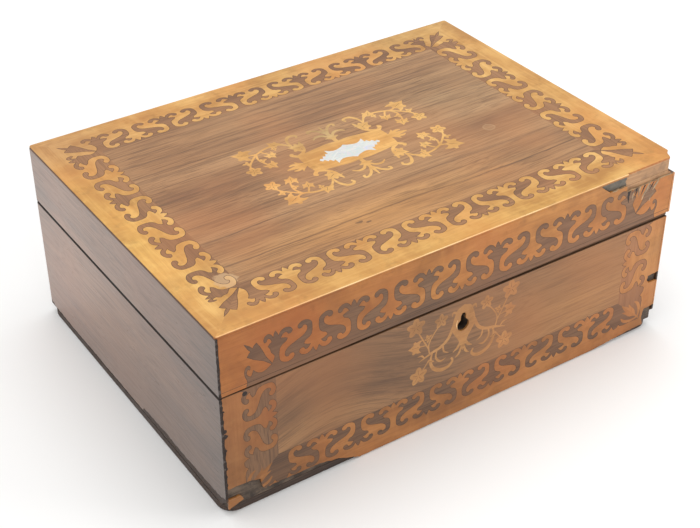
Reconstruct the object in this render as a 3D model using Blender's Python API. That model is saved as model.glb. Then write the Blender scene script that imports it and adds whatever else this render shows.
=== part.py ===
"""Antique work box: a veneered base and a lift-off lid, both hollow.

Metres, +Z up. The origin is the middle of the underside, +X runs along the front
from left to right, and the front faces -Y.
"""
import math

import bmesh
import bpy
from mathutils import Vector

# Overall sizes
LENGTH = 0.3000
DEPTH = 0.2195
BASE_HEIGHT = 0.0790
LID_HEIGHT = 0.0379
LID_OVERHANG = 0.0012
LID_RISE = 0.0020
SEAM_GAP = 0.0005

# Boards and veneers
WALL = 0.0090
BOTTOM_BOARD = 0.0045
LID_WALL = 0.0090
LID_BOARD = 0.0070
VENEER = 0.0012
CLEARANCE = 0.0003
ARRIS = 0.0004
ARRIS_STEPS = 2
ARRIS_ANGLE = math.radians(60)

# Keyhole, measured from the seam down to the middle of its round end
KEYHOLE_DROP = 0.0171
KEYHOLE_RADIUS = 0.0040
KEYHOLE_SLOT_WIDTH = 0.0036
KEYHOLE_SLOT_RISE = 0.0080
KEYHOLE_SEGMENTS = 20

# Plaque: a waisted body with a crest on each long side, and a fringed point at each end
PLAQUE_BODY_HALF_LENGTH = 0.0126
PLAQUE_BODY_HALF_WIDTH = 0.0080
PLAQUE_CREST_HALF_LENGTH = 0.0020
PLAQUE_WAIST_HALF_WIDTH = 0.0050
PLAQUE_END_LENGTH = 0.0079
PLAQUE_END_HALF_WIDTH = 0.0046
PLAQUE_FRINGE_TEETH = 3
PLAQUE_FRINGE_DEPTH = 0.0016
PLAQUE_ARC_STEPS = 5
PLAQUE_THICKNESS = 0.0010

# Dark slip under the lid's front: it runs from its thin end to the lid's right end
SLIP_THIN_END = -0.0300
SLIP_SETBACK = 0.0010
SLIP_DEPTH = 0.0080

# Wear at the corners
BOTTOM_CORNER_RADIUS = 0.0090
BOTTOM_CORNER_SEGMENTS = 6
TOP_CORNER_RADIUS = 0.0016
TOP_CORNER_SEGMENTS = 3
SIDE_CHIP = 0.0080

# Missing veneer on the base's front, lower left: its steps from the left end and the underside
LOSS_LEFT_HEIGHT = 0.0190
LOSS_LEFT_LENGTH = 0.0205
LOSS_STRIP_HEIGHT = 0.0092
LOSS_STRIP_LENGTH = 0.0570
LOSS_TAPER_LENGTH = 0.0840
LOSS_TAPER_BEND = (0.50, 0.62)
LOSS_STRIP_DIP = 0.92
LOSS_LEFT_DIP = 0.88
LOSS_LEFT_CREST = (0.60, 0.97)

# The scrap of veneer left inside that loss
REMNANT_LENGTH = 0.0105
REMNANT_LOW = 0.0045
REMNANT_HIGH = 0.0112
REMNANT_SHOULDER = 0.8

# Chips at the base's front right corner
CHIP_DEPTH = 0.0095
CHIP_LOW = (0.0020, 0.0156)
CHIP_HIGH = (0.0335, 0.0398)
CHIP_FOOT = (0.80, 0.08)
CHIP_HEAD = (0.90, 0.05)
LOSS_RIGHT_LENGTH = 0.0520
LOSS_RIGHT_HEIGHT = 0.0042
LOSS_RIGHT_BEND = (0.45, 0.65)

# Missing veneer on the lid's front, upper right: a deep strip at the end and a shallower patch
LOSS_LID_LENGTH = 0.0370
LOSS_LID_HEIGHT = 0.0105
LOSS_PATCH_LENGTH = 0.0570
LOSS_PATCH_HEIGHT = 0.0064
LOSS_PATCH_SLANT = 0.0070

# The broken front right corner of the lid, above the ledge of that loss
CORNER_LOSS_WIDTH = 0.0046
CORNER_LOSS_DEPTH = 0.0078
CORNER_LOSS_BEND = (0.55, 0.70)

# Reach of a cutting shape past the face that it cuts
PAST = 0.0020

# Least cosine that a sharp corner's mitre is worked out with
MITRE_LIMIT = 0.6

# Derived planes
LEFT = -LENGTH / 2
RIGHT = LENGTH / 2
BASE_RIGHT = RIGHT - LID_OVERHANG
FRONT = -DEPTH / 2
BACK = DEPTH / 2
SKIN = VENEER + CLEARANCE
WALL_FOOT = BOTTOM_BOARD + CLEARANCE
LID_FOOT = BASE_HEIGHT + SEAM_GAP
LID_TOP = BASE_HEIGHT + LID_HEIGHT
TOP_VENEER_FOOT = LID_TOP - VENEER
TOP_BOARD_HIGH = TOP_VENEER_FOOT - CLEARANCE
TOP_BOARD_LOW = TOP_BOARD_HIGH - LID_BOARD
RAIL_HIGH = TOP_BOARD_LOW - CLEARANCE
KEYHOLE_HEIGHT = BASE_HEIGHT - KEYHOLE_DROP

# Finishes: colour, roughness, metallic
ROSEWOOD = ("rosewood", (0.150, 0.075, 0.045), 0.45, 0.0)
SATINWOOD = ("satinwood", (0.560, 0.300, 0.110), 0.42, 0.0)
CARCASS = ("carcass_wood", (0.300, 0.200, 0.120), 0.75, 0.0)
DARK_EDGE = ("dark_edge", (0.045, 0.030, 0.024), 0.60, 0.0)
PEARL = ("pearl", (0.800, 0.820, 0.830), 0.25, 0.0)


def clear_scene():
    for item in list(bpy.data.objects):
        bpy.data.objects.remove(item, do_unlink=True)


def material(finish):
    name, colour, roughness, metallic = finish
    made = bpy.data.materials.get(name)
    if made is None:
        made = bpy.data.materials.new(name)
        made.use_nodes = True
        shader = made.node_tree.nodes["Principled BSDF"]
        shader.inputs["Base Color"].default_value = (*colour, 1.0)
        shader.inputs["Roughness"].default_value = roughness
        shader.inputs["Metallic"].default_value = metallic
        made.diffuse_color = (*colour, 1.0)
    return made


def lift(x):
    """Height that the warped lid stands above a level one, growing from left to right."""
    return LID_RISE * (x - LEFT) / LENGTH


def add_object(name, bm, finish=None, parent=None):
    bmesh.ops.recalc_face_normals(bm, faces=bm.faces)
    mesh = bpy.data.meshes.new(name)
    bm.to_mesh(mesh)
    bm.free()
    item = bpy.data.objects.new(name, mesh)
    bpy.context.scene.collection.objects.link(item)
    if finish is not None:
        mesh.materials.append(material(finish))
    item.parent = parent
    return item


def prism(outline, low, high, plane="XY"):
    """A bmesh of an outline pushed from low to high along the axis that the plane leaves out."""
    bm = bmesh.new()
    if plane == "XY":
        verts = [bm.verts.new((u, v, low)) for u, v in outline]
        push = Vector((0.0, 0.0, high - low))
    elif plane == "XZ":
        verts = [bm.verts.new((u, low, v)) for u, v in outline]
        push = Vector((0.0, high - low, 0.0))
    else:
        verts = [bm.verts.new((low, u, v)) for u, v in outline]
        push = Vector((high - low, 0.0, 0.0))
    face = bm.faces.new(verts)
    result = bmesh.ops.extrude_face_region(bm, geom=[face])
    moved = [part for part in result["geom"] if isinstance(part, bmesh.types.BMVert)]
    bmesh.ops.translate(bm, verts=moved, vec=push)
    return bm


def rectangle(u0, u1, v0, v1):
    return [(u0, v0), (u1, v0), (u1, v1), (u0, v1)]


def rounded_rectangle(u0, u1, v0, v1, radius, segments):
    """Corner arcs run anticlockwise from the lower left corner."""
    corners = [
        (u0 + radius, v0 + radius, math.pi),
        (u1 - radius, v0 + radius, math.pi * 1.5),
        (u1 - radius, v1 - radius, 0.0),
        (u0 + radius, v1 - radius, math.pi * 0.5),
    ]
    points = []
    for centre_u, centre_v, start in corners:
        for step in range(segments + 1):
            angle = start + math.pi / 2 * step / segments
            points.append((centre_u + radius * math.cos(angle), centre_v + radius * math.sin(angle)))
    return points


def block(name, x0, x1, y0, y1, z0, z1, finish, parent):
    """A squared board between six planes."""
    return add_object(name, prism(rectangle(x0, x1, y0, y1), z0, z1), finish, parent)


def warp(item):
    """Raises the lid's pieces from left to right by the lid's rise."""
    for vert in item.data.vertices:
        vert.co.z += lift(vert.co.x)


def warped_block(name, x0, x1, y0, y1, z0, z1, finish, parent):
    item = block(name, x0, x1, y0, y1, z0, z1, finish, parent)
    warp(item)
    return item


def cut(item, bm, label):
    """Takes a shape out of an item; the cutting shape stays hidden in the file."""
    cutter = add_object(item.name + "_" + label + "_cutter", bm)
    cutter.display_type = "WIRE"
    cutter.hide_render = True
    modifier = item.modifiers.new(label, "BOOLEAN")
    modifier.operation = "DIFFERENCE"
    modifier.solver = "EXACT"
    modifier.object = cutter
    return cutter


def ease_arrises(item, width=ARRIS, segments=ARRIS_STEPS):
    """Softens the sharp edges a little, as handling has."""
    modifier = item.modifiers.new("arris", "BEVEL")
    modifier.width = width
    modifier.segments = segments
    modifier.limit_method = "ANGLE"
    modifier.angle_limit = ARRIS_ANGLE


def keyhole_outline():
    """A round lower end with a narrow slot rising from it, drawn in X and Z about its middle."""
    half_slot = KEYHOLE_SLOT_WIDTH / 2
    start = math.asin(half_slot / KEYHOLE_RADIUS)
    sweep = 2 * math.pi - 2 * start
    points = []
    for step in range(KEYHOLE_SEGMENTS + 1):
        angle = math.pi / 2 - start - sweep * step / KEYHOLE_SEGMENTS
        rise = KEYHOLE_RADIUS * math.sin(angle)
        points.append((KEYHOLE_RADIUS * math.cos(angle), KEYHOLE_HEIGHT + rise))
    slot_top = KEYHOLE_HEIGHT + KEYHOLE_SLOT_RISE
    points.append((-half_slot, slot_top - half_slot))
    points.append((-half_slot / 2, slot_top))
    points.append((half_slot / 2, slot_top))
    points.append((half_slot, slot_top - half_slot))
    return points


def plaque_quarter():
    """The outline from the crest on the long side to the tip of the right end."""
    points = []
    start = PLAQUE_CREST_HALF_LENGTH
    run = PLAQUE_BODY_HALF_LENGTH - start
    points.append((0.0, PLAQUE_BODY_HALF_WIDTH))
    for step in range(PLAQUE_ARC_STEPS + 1):
        share = step / PLAQUE_ARC_STEPS
        dip = math.sin(math.pi * share)
        crest_edge = (PLAQUE_BODY_HALF_WIDTH + PLAQUE_WAIST_HALF_WIDTH) / 2
        high = PLAQUE_BODY_HALF_WIDTH * share + crest_edge * (1 - share)
        points.append((start + run * share, high - (high - PLAQUE_WAIST_HALF_WIDTH) * dip))
    for tooth in range(PLAQUE_FRINGE_TEETH):
        share = tooth / PLAQUE_FRINGE_TEETH
        half_width = PLAQUE_END_HALF_WIDTH * (1 - share)
        root = PLAQUE_BODY_HALF_LENGTH + PLAQUE_END_LENGTH * share
        points.append((root, half_width - PLAQUE_FRINGE_DEPTH / 2))
        points.append((root + PLAQUE_FRINGE_DEPTH, half_width))
    points.append((PLAQUE_BODY_HALF_LENGTH + PLAQUE_END_LENGTH, 0.0))
    return points


def plaque_outline(margin=0.0):
    """The quarter mirrored across both middle lines, clockwise, and grown by a margin."""
    quarter = plaque_quarter()
    lower_right = [(u, -v) for u, v in reversed(quarter[:-1])]
    right_half = quarter + lower_right
    left_half = [(-u, v) for u, v in reversed(right_half[1:-1])]
    return grown(right_half + left_half, margin)


def grown(outline, margin):
    """Moves each point of a clockwise outline outward by a margin along its mitre."""
    if margin == 0.0:
        return outline
    count = len(outline)
    result = []
    for index in range(count):
        before = Vector(outline[index - 1])
        here = Vector(outline[index])
        after = Vector(outline[(index + 1) % count])
        first = (here - before).normalized()
        second = (after - here).normalized()
        normal_one = Vector((-first.y, first.x))
        normal_two = Vector((-second.y, second.x))
        mitre = (normal_one + normal_two).normalized()
        stretch = max(mitre.dot(normal_one), MITRE_LIMIT)
        result.append(tuple(here + mitre * (margin / stretch)))
    return result


def base_front_loss():
    """The veneer lost along the lower left of the base's front, in X and Z."""
    x0 = LEFT - PAST
    along, up = LOSS_TAPER_BEND
    bend = LOSS_STRIP_LENGTH + (LOSS_TAPER_LENGTH - LOSS_STRIP_LENGTH) * along
    crest, crest_up = LOSS_LEFT_CREST
    return [
        (x0, -PAST),
        (LEFT + LOSS_TAPER_LENGTH, -PAST),
        (LEFT + LOSS_TAPER_LENGTH, 0.0),
        (LEFT + bend, LOSS_STRIP_HEIGHT * up),
        (LEFT + LOSS_STRIP_LENGTH, LOSS_STRIP_HEIGHT * LOSS_STRIP_DIP),
        (LEFT + LOSS_LEFT_LENGTH + VENEER, LOSS_STRIP_HEIGHT),
        (LEFT + LOSS_LEFT_LENGTH, LOSS_LEFT_HEIGHT * LOSS_LEFT_DIP),
        (LEFT + LOSS_LEFT_LENGTH * crest, LOSS_LEFT_HEIGHT * crest_up),
        (x0, LOSS_LEFT_HEIGHT),
    ]


def base_front_right_loss():
    """The veneer lost along the lower right of the base's front, in X and Z."""
    along, up = LOSS_RIGHT_BEND
    return [
        (BASE_RIGHT - LOSS_RIGHT_LENGTH, -PAST),
        (BASE_RIGHT + PAST, -PAST),
        (BASE_RIGHT + PAST, LOSS_RIGHT_HEIGHT),
        (BASE_RIGHT - LOSS_RIGHT_LENGTH * along, LOSS_RIGHT_HEIGHT * up),
        (BASE_RIGHT - LOSS_RIGHT_LENGTH, 0.0),
    ]


def corner_chip(low, high):
    """An uneven bite out of the front right corner, in X and Z."""
    x1 = BASE_RIGHT + PAST
    middle = (low + high) / 2
    foot, foot_up = CHIP_FOOT
    head, head_down = CHIP_HEAD
    return [
        (x1, low),
        (BASE_RIGHT - CHIP_DEPTH * foot, low + (high - low) * foot_up),
        (BASE_RIGHT - CHIP_DEPTH, middle),
        (BASE_RIGHT - CHIP_DEPTH * head, high - (high - low) * head_down),
        (x1, high),
    ]


def lid_front_loss():
    """The veneer lost at the upper right of the lid's front, in X and Z of the level lid."""
    top = LID_TOP + PAST
    inner = RIGHT - LOSS_PATCH_LENGTH
    step = RIGHT - LOSS_LID_LENGTH
    return [
        (inner, top),
        (inner, TOP_VENEER_FOOT - CLEARANCE),
        (inner + LOSS_PATCH_SLANT, TOP_VENEER_FOOT - LOSS_PATCH_HEIGHT),
        (step, TOP_VENEER_FOOT - LOSS_PATCH_HEIGHT),
        (step, TOP_VENEER_FOOT - LOSS_LID_HEIGHT),
        (RIGHT + PAST, TOP_VENEER_FOOT - LOSS_LID_HEIGHT + CLEARANCE * 2),
        (RIGHT + PAST, top),
    ]


def lid_corner_loss():
    """The broken corner's plan, in X and Y: a bent line across the corner."""
    along, back = CORNER_LOSS_BEND
    return [
        (RIGHT - CORNER_LOSS_WIDTH, FRONT - PAST),
        (RIGHT + PAST, FRONT - PAST),
        (RIGHT + PAST, FRONT + CORNER_LOSS_DEPTH),
        (RIGHT, FRONT + CORNER_LOSS_DEPTH),
        (RIGHT - CORNER_LOSS_WIDTH * along, FRONT + CORNER_LOSS_DEPTH * back),
        (RIGHT - CORNER_LOSS_WIDTH, FRONT + VENEER),
    ]


def break_lid_corner(items):
    """Takes the broken corner, above the ledge, out of each piece that reaches it."""
    ledge = TOP_VENEER_FOOT - LOSS_LID_HEIGHT + CLEARANCE * 2
    for item in items:
        warp(cut(item, prism(lid_corner_loss(), ledge, LID_TOP + PAST + LID_RISE), "corner_loss"))


def build_base():
    base = bpy.data.objects.new("base", None)
    bpy.context.scene.collection.objects.link(base)

    outline = rounded_rectangle(
        LEFT, BASE_RIGHT, FRONT + SKIN, BACK, BOTTOM_CORNER_RADIUS, BOTTOM_CORNER_SEGMENTS
    )
    bottom = add_object("base_bottom_board", prism(outline, 0.0, BOTTOM_BOARD), DARK_EDGE, base)
    ease_arrises(bottom)

    x0 = LEFT + SKIN
    x1 = BASE_RIGHT - SKIN
    y0 = FRONT + SKIN
    y1 = BACK - SKIN
    front = block("base_front_board", x0, x1, y0, y0 + WALL, WALL_FOOT, BASE_HEIGHT, CARCASS, base)
    cut(front, prism(keyhole_outline(), FRONT - PAST, y0 + WALL + PAST, "XZ"), "keyhole")
    block("base_back_board", x0, x1, y1 - WALL, y1, WALL_FOOT, BASE_HEIGHT, CARCASS, base)
    side_y0 = y0 + WALL + CLEARANCE
    side_y1 = y1 - WALL - CLEARANCE
    block("base_left_board", x0, x0 + WALL, side_y0, side_y1, WALL_FOOT, BASE_HEIGHT, CARCASS, base)
    block("base_right_board", x1 - WALL, x1, side_y0, side_y1, WALL_FOOT, BASE_HEIGHT, CARCASS, base)

    build_base_front_veneer(base)
    build_base_side_veneers(base)


def build_base_front_veneer(base):
    x0 = LEFT + SKIN
    x1 = BASE_RIGHT - SKIN
    y1 = FRONT + VENEER
    veneer = block("base_front_veneer", x0, x1, FRONT, y1, CLEARANCE, BASE_HEIGHT, SATINWOOD, base)
    shapes = {
        "keyhole": keyhole_outline(),
        "lower_left_loss": base_front_loss(),
        "lower_right_loss": base_front_right_loss(),
        "low_chip": corner_chip(*CHIP_LOW),
        "high_chip": corner_chip(*CHIP_HIGH),
    }
    for label, outline in shapes.items():
        cut(veneer, prism(outline, FRONT - PAST, y1 + PAST, "XZ"), label)
    remnant = rectangle(x0, LEFT + REMNANT_LENGTH, REMNANT_LOW, REMNANT_HIGH)
    remnant[1] = (LEFT + REMNANT_LENGTH, (REMNANT_LOW + REMNANT_HIGH) / 2)
    remnant[2] = (LEFT + REMNANT_LENGTH * REMNANT_SHOULDER, REMNANT_HIGH)
    add_object("base_front_veneer_remnant", prism(remnant, FRONT, y1, "XZ"), SATINWOOD, base)


def build_base_side_veneers(base):
    outer = LEFT + VENEER
    left = block("base_left_veneer", LEFT, outer, FRONT, BACK, WALL_FOOT, BASE_HEIGHT, ROSEWOOD, base)
    foot_chip = [
        (FRONT - PAST, WALL_FOOT - PAST),
        (FRONT + SIDE_CHIP, WALL_FOOT - PAST),
        (FRONT - PAST, WALL_FOOT + SIDE_CHIP),
    ]
    cut(left, prism(foot_chip, LEFT - PAST, outer + PAST, "YZ"), "front_chip")

    inner = BASE_RIGHT - VENEER
    block("base_right_veneer", inner, BASE_RIGHT, FRONT, BACK, WALL_FOOT, BASE_HEIGHT, ROSEWOOD, base)

    x0 = LEFT + SKIN
    x1 = BASE_RIGHT - SKIN
    block("base_back_veneer", x0, x1, BACK - VENEER, BACK, WALL_FOOT, BASE_HEIGHT, ROSEWOOD, base)


def build_lid():
    lid = bpy.data.objects.new("lid", None)
    bpy.context.scene.collection.objects.link(lid)

    x0 = LEFT + SKIN
    x1 = RIGHT - SKIN
    y0 = FRONT + SKIN
    y1 = BACK - SKIN
    side_y0 = y0 + LID_WALL + CLEARANCE
    side_y1 = y1 - LID_WALL - CLEARANCE
    board = warped_block("lid_top_board", x0, x1, y0, y1, TOP_BOARD_LOW, TOP_BOARD_HIGH, CARCASS, lid)
    rail = warped_block("lid_front_rail", x0, x1, y0, y0 + LID_WALL, LID_FOOT, RAIL_HIGH, CARCASS, lid)
    warped_block("lid_back_rail", x0, x1, y1 - LID_WALL, y1, LID_FOOT, RAIL_HIGH, CARCASS, lid)
    warped_block("lid_left_rail", x0, x0 + LID_WALL, side_y0, side_y1, LID_FOOT, RAIL_HIGH, CARCASS, lid)
    warped_block("lid_right_rail", x1 - LID_WALL, x1, side_y0, side_y1, LID_FOOT, RAIL_HIGH, CARCASS, lid)

    top, right = build_lid_veneers(lid)
    break_lid_corner((board, rail, right, top))
    build_slip(lid)
    build_plaque(lid)


def build_lid_veneers(lid):
    high = TOP_VENEER_FOOT - CLEARANCE
    x0 = LEFT + SKIN
    x1 = RIGHT - SKIN
    warped_block("lid_left_veneer", LEFT, LEFT + VENEER, FRONT, BACK, LID_FOOT, high, ROSEWOOD, lid)
    inner = RIGHT - VENEER
    right = warped_block("lid_right_veneer", inner, RIGHT, FRONT, BACK, LID_FOOT, high, ROSEWOOD, lid)
    warped_block("lid_back_veneer", x0, x1, BACK - VENEER, BACK, LID_FOOT, high, ROSEWOOD, lid)
    y1 = FRONT + VENEER
    front = warped_block("lid_front_veneer", x0, x1, FRONT, y1, LID_FOOT, high, SATINWOOD, lid)
    for item in (front, right):
        bite = prism(lid_front_loss(), FRONT - PAST, y1 + CLEARANCE / 2, "XZ")
        warp(cut(item, bite, "loss"))

    outline = rounded_rectangle(LEFT, RIGHT, FRONT, BACK, TOP_CORNER_RADIUS, TOP_CORNER_SEGMENTS)
    top = add_object("lid_top_veneer", prism(outline, TOP_VENEER_FOOT, LID_TOP), SATINWOOD, lid)
    warp(top)
    recess = prism(plaque_outline(CLEARANCE), TOP_VENEER_FOOT - PAST, LID_TOP + PAST + LID_RISE)
    cut(top, recess, "plaque_opening")
    loss = rectangle(RIGHT - LOSS_LID_LENGTH, RIGHT + PAST, FRONT - PAST, y1)
    warp(cut(top, prism(loss, TOP_VENEER_FOOT - PAST, LID_TOP + PAST + LID_RISE), "front_loss"))
    return top, right


def build_slip(lid):
    """The tapering strip fills the wedge that the lid's rise leaves over the base's front.

    It stands back a little, so that the wedge shows as a dark joint.
    """
    x0 = SLIP_THIN_END
    x1 = RIGHT - SKIN
    outline = [
        (x0, LID_FOOT),
        (x1, LID_FOOT),
        (x1, LID_FOOT + lift(x1) - CLEARANCE),
        (x0, LID_FOOT + lift(x0) - CLEARANCE),
    ]
    slip = prism(outline, FRONT + SLIP_SETBACK, FRONT + SLIP_DEPTH, "XZ")
    add_object("lid_front_slip", slip, DARK_EDGE, lid)


def build_plaque(lid):
    low = LID_TOP - PLAQUE_THICKNESS
    plaque = add_object("pearl_plaque", prism(plaque_outline(), low, LID_TOP), PEARL, lid)
    warp(plaque)


def main():
    clear_scene()
    build_base()
    build_lid()


main()
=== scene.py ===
"""Looks of the antique work box: its woods, marquetry, pearl plaque and wear."""
import math
import random

import bmesh
import bpy
import numpy as np
from mathutils import Matrix, Vector
from mathutils.geometry import delaunay_2d_cdt


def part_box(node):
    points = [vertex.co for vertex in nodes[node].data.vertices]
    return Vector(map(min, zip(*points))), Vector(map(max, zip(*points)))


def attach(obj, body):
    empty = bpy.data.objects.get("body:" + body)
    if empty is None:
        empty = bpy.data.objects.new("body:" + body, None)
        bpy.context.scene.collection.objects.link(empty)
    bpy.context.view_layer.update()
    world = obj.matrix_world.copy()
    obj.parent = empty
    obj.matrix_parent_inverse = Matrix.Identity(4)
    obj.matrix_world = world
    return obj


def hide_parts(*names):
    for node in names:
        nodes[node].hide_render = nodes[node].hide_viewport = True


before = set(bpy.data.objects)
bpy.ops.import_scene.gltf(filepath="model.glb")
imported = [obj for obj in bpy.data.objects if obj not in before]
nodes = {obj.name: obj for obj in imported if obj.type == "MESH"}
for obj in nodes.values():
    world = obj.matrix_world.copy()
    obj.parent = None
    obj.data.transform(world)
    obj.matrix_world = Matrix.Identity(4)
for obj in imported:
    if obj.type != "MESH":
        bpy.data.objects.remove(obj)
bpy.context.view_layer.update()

# Planes of the frame, in metres
(LEFT, FRONT, _), (RIGHT, BACK, _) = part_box("lid_top_veneer")
BASE_LEFT, _, BASE_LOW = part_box("base_front_veneer")[0]
BASE_RIGHT, _, BASE_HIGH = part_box("base_front_veneer")[1]
LID_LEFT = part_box("lid_front_veneer")[0][0]
LID_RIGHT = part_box("lid_front_veneer")[1][0]

# Sizes repeated from the CAD, in metres
LENGTH = 0.3000
DEPTH = 0.2195
BASE_HEIGHT = 0.0790
LID_HEIGHT = 0.0379
LID_RISE = 0.0020
SEAM_GAP = 0.0005
VENEER = 0.0012
LID_FOOT = BASE_HEIGHT + SEAM_GAP
LID_TOP = BASE_HEIGHT + LID_HEIGHT
TOP_VENEER_FOOT = LID_TOP - VENEER
LID_FRONT_HIGH = TOP_VENEER_FOOT - 0.00005
LID_STRIP_START = RIGHT - 0.0370
MM = 0.001
ARRIS = 0.35
SIDE_ARRIS = 0.0005
RIGHT_FOOT_WEAR = 0.0070


def lift(x):
    """Height that the warped lid stands above a level one."""
    return LID_RISE * (x + LENGTH / 2) / LENGTH


# Camera, from a fit to the photograph's edges
CAMERA_PLACE = (-0.3863, -0.5774, 0.5165)
CAMERA_AZIMUTH = math.radians(-33.77)
CAMERA_ELEVATION = math.radians(34.50)
CAMERA_ROLL = math.radians(-0.06)
CAMERA_LENS = 71.75


def build_camera():
    data = bpy.data.cameras.new("camera")
    data.lens = CAMERA_LENS
    data.sensor_width = 36.0
    data.sensor_fit = "HORIZONTAL"
    data.clip_start = 0.01
    data.clip_end = 20.0
    camera = add_object("camera", data)
    turn = (Matrix.Rotation(CAMERA_AZIMUTH, 4, "Z") @ Matrix.Rotation(math.pi / 2 - CAMERA_ELEVATION, 4, "X")
            @ Matrix.Rotation(CAMERA_ROLL, 4, "Z"))
    camera.matrix_world = Matrix.Translation(CAMERA_PLACE) @ turn
    bpy.context.scene.camera = camera


# Colours are given as the eye sees them and turned to linear light

def linear(*colour):
    """Linear RGBA of a colour given in 0 to 255."""
    shares = [part / 255 for part in colour]
    return (*(share / 12.92 if share <= 0.04045 else ((share + 0.055) / 1.055) ** 2.4
              for share in shares), 1)


def dimmed(colour, *gains):
    return tuple(part * gain for part, gain in zip(colour, gains))


class Num:
    """A shader's socket, so that sums are written as sums."""

    def __init__(self, shader, socket):
        self.shader, self.socket = shader, socket

    def __abs__(self):
        return self.shader.math("ABSOLUTE", self)

    def __rsub__(self, other):
        return self.shader.math("SUBTRACT", other, self)


SUMS = {"add": "ADD", "sub": "SUBTRACT", "mul": "MULTIPLY", "truediv": "DIVIDE", "lt": "LESS_THAN"}
for symbol, kind in SUMS.items():
    setattr(Num, f"__{symbol}__", lambda self, other, kind=kind: self.shader.math(kind, self, other))


class Shader:
    """One material and short calls for its nodes."""

    def __init__(self, name):
        self.material = bpy.data.materials.new(name)
        self.material.use_nodes = True
        self.tree = self.material.node_tree
        self.surface = self.tree.nodes["Principled BSDF"]
        self.place = self.node("ShaderNodeTexCoord", {}, "Object")
        split = self.node("ShaderNodeSeparateXYZ", {0: self.place}).socket.node
        self.x, self.y, self.z = (Num(self, socket) for socket in split.outputs)

    def node(self, kind, inputs, output=0, **settings):
        """Adds a node, fills its inputs and gives one of its outputs."""
        made = self.tree.nodes.new(kind)
        for key, value in settings.items():
            setattr(made, key, value)
        for key, value in inputs.items():
            self.put(made.inputs[key], value)
        return Num(self, made.outputs[output])

    def put(self, target, value):
        if isinstance(value, Num):
            self.tree.links.new(value.socket, target)
        else:
            target.default_value = value

    def math(self, operation, *values):
        return self.node("ShaderNodeMath", dict(enumerate(values)), operation=operation)

    def vector(self, *parts):
        return self.node("ShaderNodeCombineXYZ", dict(enumerate(parts)))

    def noise(self, vector, detail=3, roughness=0.5, scale=1, distortion=0):
        return self.node("ShaderNodeTexNoise", {
            "Vector": vector, "Scale": scale, "Detail": detail, "Roughness": roughness,
            "Distortion": distortion,
        }, "Fac")

    def ramp(self, share, *stops):
        """A number or colour from (place, value) stops."""
        made = self.node("ShaderNodeValToRGB", {0: share})
        elements = made.socket.node.color_ramp.elements
        while len(elements) < len(stops):
            elements.new(0.5)
        for element, (place, value) in zip(elements, stops):
            element.position = place
            element.color = linear(*value) if isinstance(value, tuple) else (value, value, value, 1)
        return made

    def mix(self, share, first, second, mode="MIX"):
        inputs = {0: share, 6: first, 7: second}
        return self.node("ShaderNodeMix", inputs, 2, data_type="RGBA", blend_type=mode)

    def tint(self, colour, *layers):
        """Paints layers over a colour, each with a number, the stops of its strength and a colour."""
        for number, stops, over in layers:
            colour = self.mix(self.ramp(number, *stops), colour, linear(*over))
        return colour

    def bump(self, height, strength, distance):
        height = self.node("ShaderNodeBump", {"Strength": strength, "Distance": distance, "Height": height})
        self.put(self.surface.inputs["Normal"], height)

    def finish(self, colour, roughness, coat=0, coat_roughness=0.2, specular=0.5):
        for name, value in (("Base Color", colour), ("Roughness", roughness), ("Coat Weight", coat),
                            ("Coat Roughness", coat_roughness), ("Specular IOR Level", specular)):
            self.put(self.surface.inputs[name], value)
        return self.material


# Marks of wear: kind, middle, half sizes, colour, strength and how ragged, in metres
PATCH_TOP = ("patch", (-0.1227, -0.0716), (0.0066, 0.007), (208, 170, 126), 0.62, 0.0018)
MARKS_TOP = [
    ("patch", (-0.038, -0.0653), (0.0024, 0.0009), (64, 47, 36), 0.6, 0.0005),
    ("patch", (-0.0335, -0.0678), (0.002, 0.0008), (64, 47, 36), 0.6, 0.0005),
    PATCH_TOP,
    ("ring", (0.0824, -0.0234), (0.0042, 0.004), (202, 164, 120), 0.38, 0.0004),
    ("patch", (-0.101, 0.01), (0.011, 0.004), (128, 84, 56), 0.3, 0.003),
]

# Soft changes of tone, some of them painted light, shade and sheen: middle, half sizes and the gain of each
# colour, on the top and on the fronts
TONE_AND_SHEEN_TOP = [
    ((-0.025, -0.066), (0.1, 0.024), (1.26, 1.17, 0.88)),
    ((-0.092, 0.002), (0.048, 0.06), (0.84, 0.78, 0.76)),
    # painted sheen: paler and bluer towards the right and back
    ((0.085, 0.015), (0.06, 0.06), (0.92, 1.02, 1.1)),
]
TONE_AND_SHEEN_BORDER = [
    ((-0.145, -0.012), (0.024, 0.08), (1.16, 1.25, 1.14)),
    ((-0.14, 0.098), (0.048, 0.034), (0.82, 0.78, 0.94)),
    ((0.02, -0.106), (0.13, 0.016), (0.96, 0.96, 0.84)),
    # painted sheen: bluer towards the back right
    ((0.09, 0.105), (0.09, 0.022), (0.91, 0.98, 1.1)),
]
WASHES_INLAY = [
    ((-0.006, 0.026), (0.026, 0.014), (0.66, 0.78, 1.1)),
    ((0, 0.001), (0.04, 0.018), (1.02, 0.9, 0.74)),
]
# painted shade: the lid's front darker and less yellow towards its left end
SHADE_PAINTED_LID_FRONT = [((-0.13, 0.098), (0.1, 0.05), (0.76, 0.63, 0.51))]
# painted shade at the base front's left end and painted light at its right end
LIGHT_AND_SHADE_PAINTED_BASE_FRONT = [
    ((-0.14, 0.04), (0.06, 0.07), (0.8, 0.8, 0.84)),
    ((0.13, 0.05), (0.05, 0.06), (1.14, 1.2, 1.16)),
]
# painted light: the right upright band brighter
LIGHT_PAINTED_UPRIGHT = [((0.128, 0.056), (0.04, 0.046), (2.15, 2.05, 1.75))]
# painted light on the field's right and painted shade on its left
LIGHT_AND_SHADE_PAINTED_FIELD = [
    ((0.09, 0.054), (0.09, 0.06), (1.26, 1.26, 1.08)),
    ((-0.09, 0.052), (0.05, 0.04), (0.96, 0.93, 0.88)),
]

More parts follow.
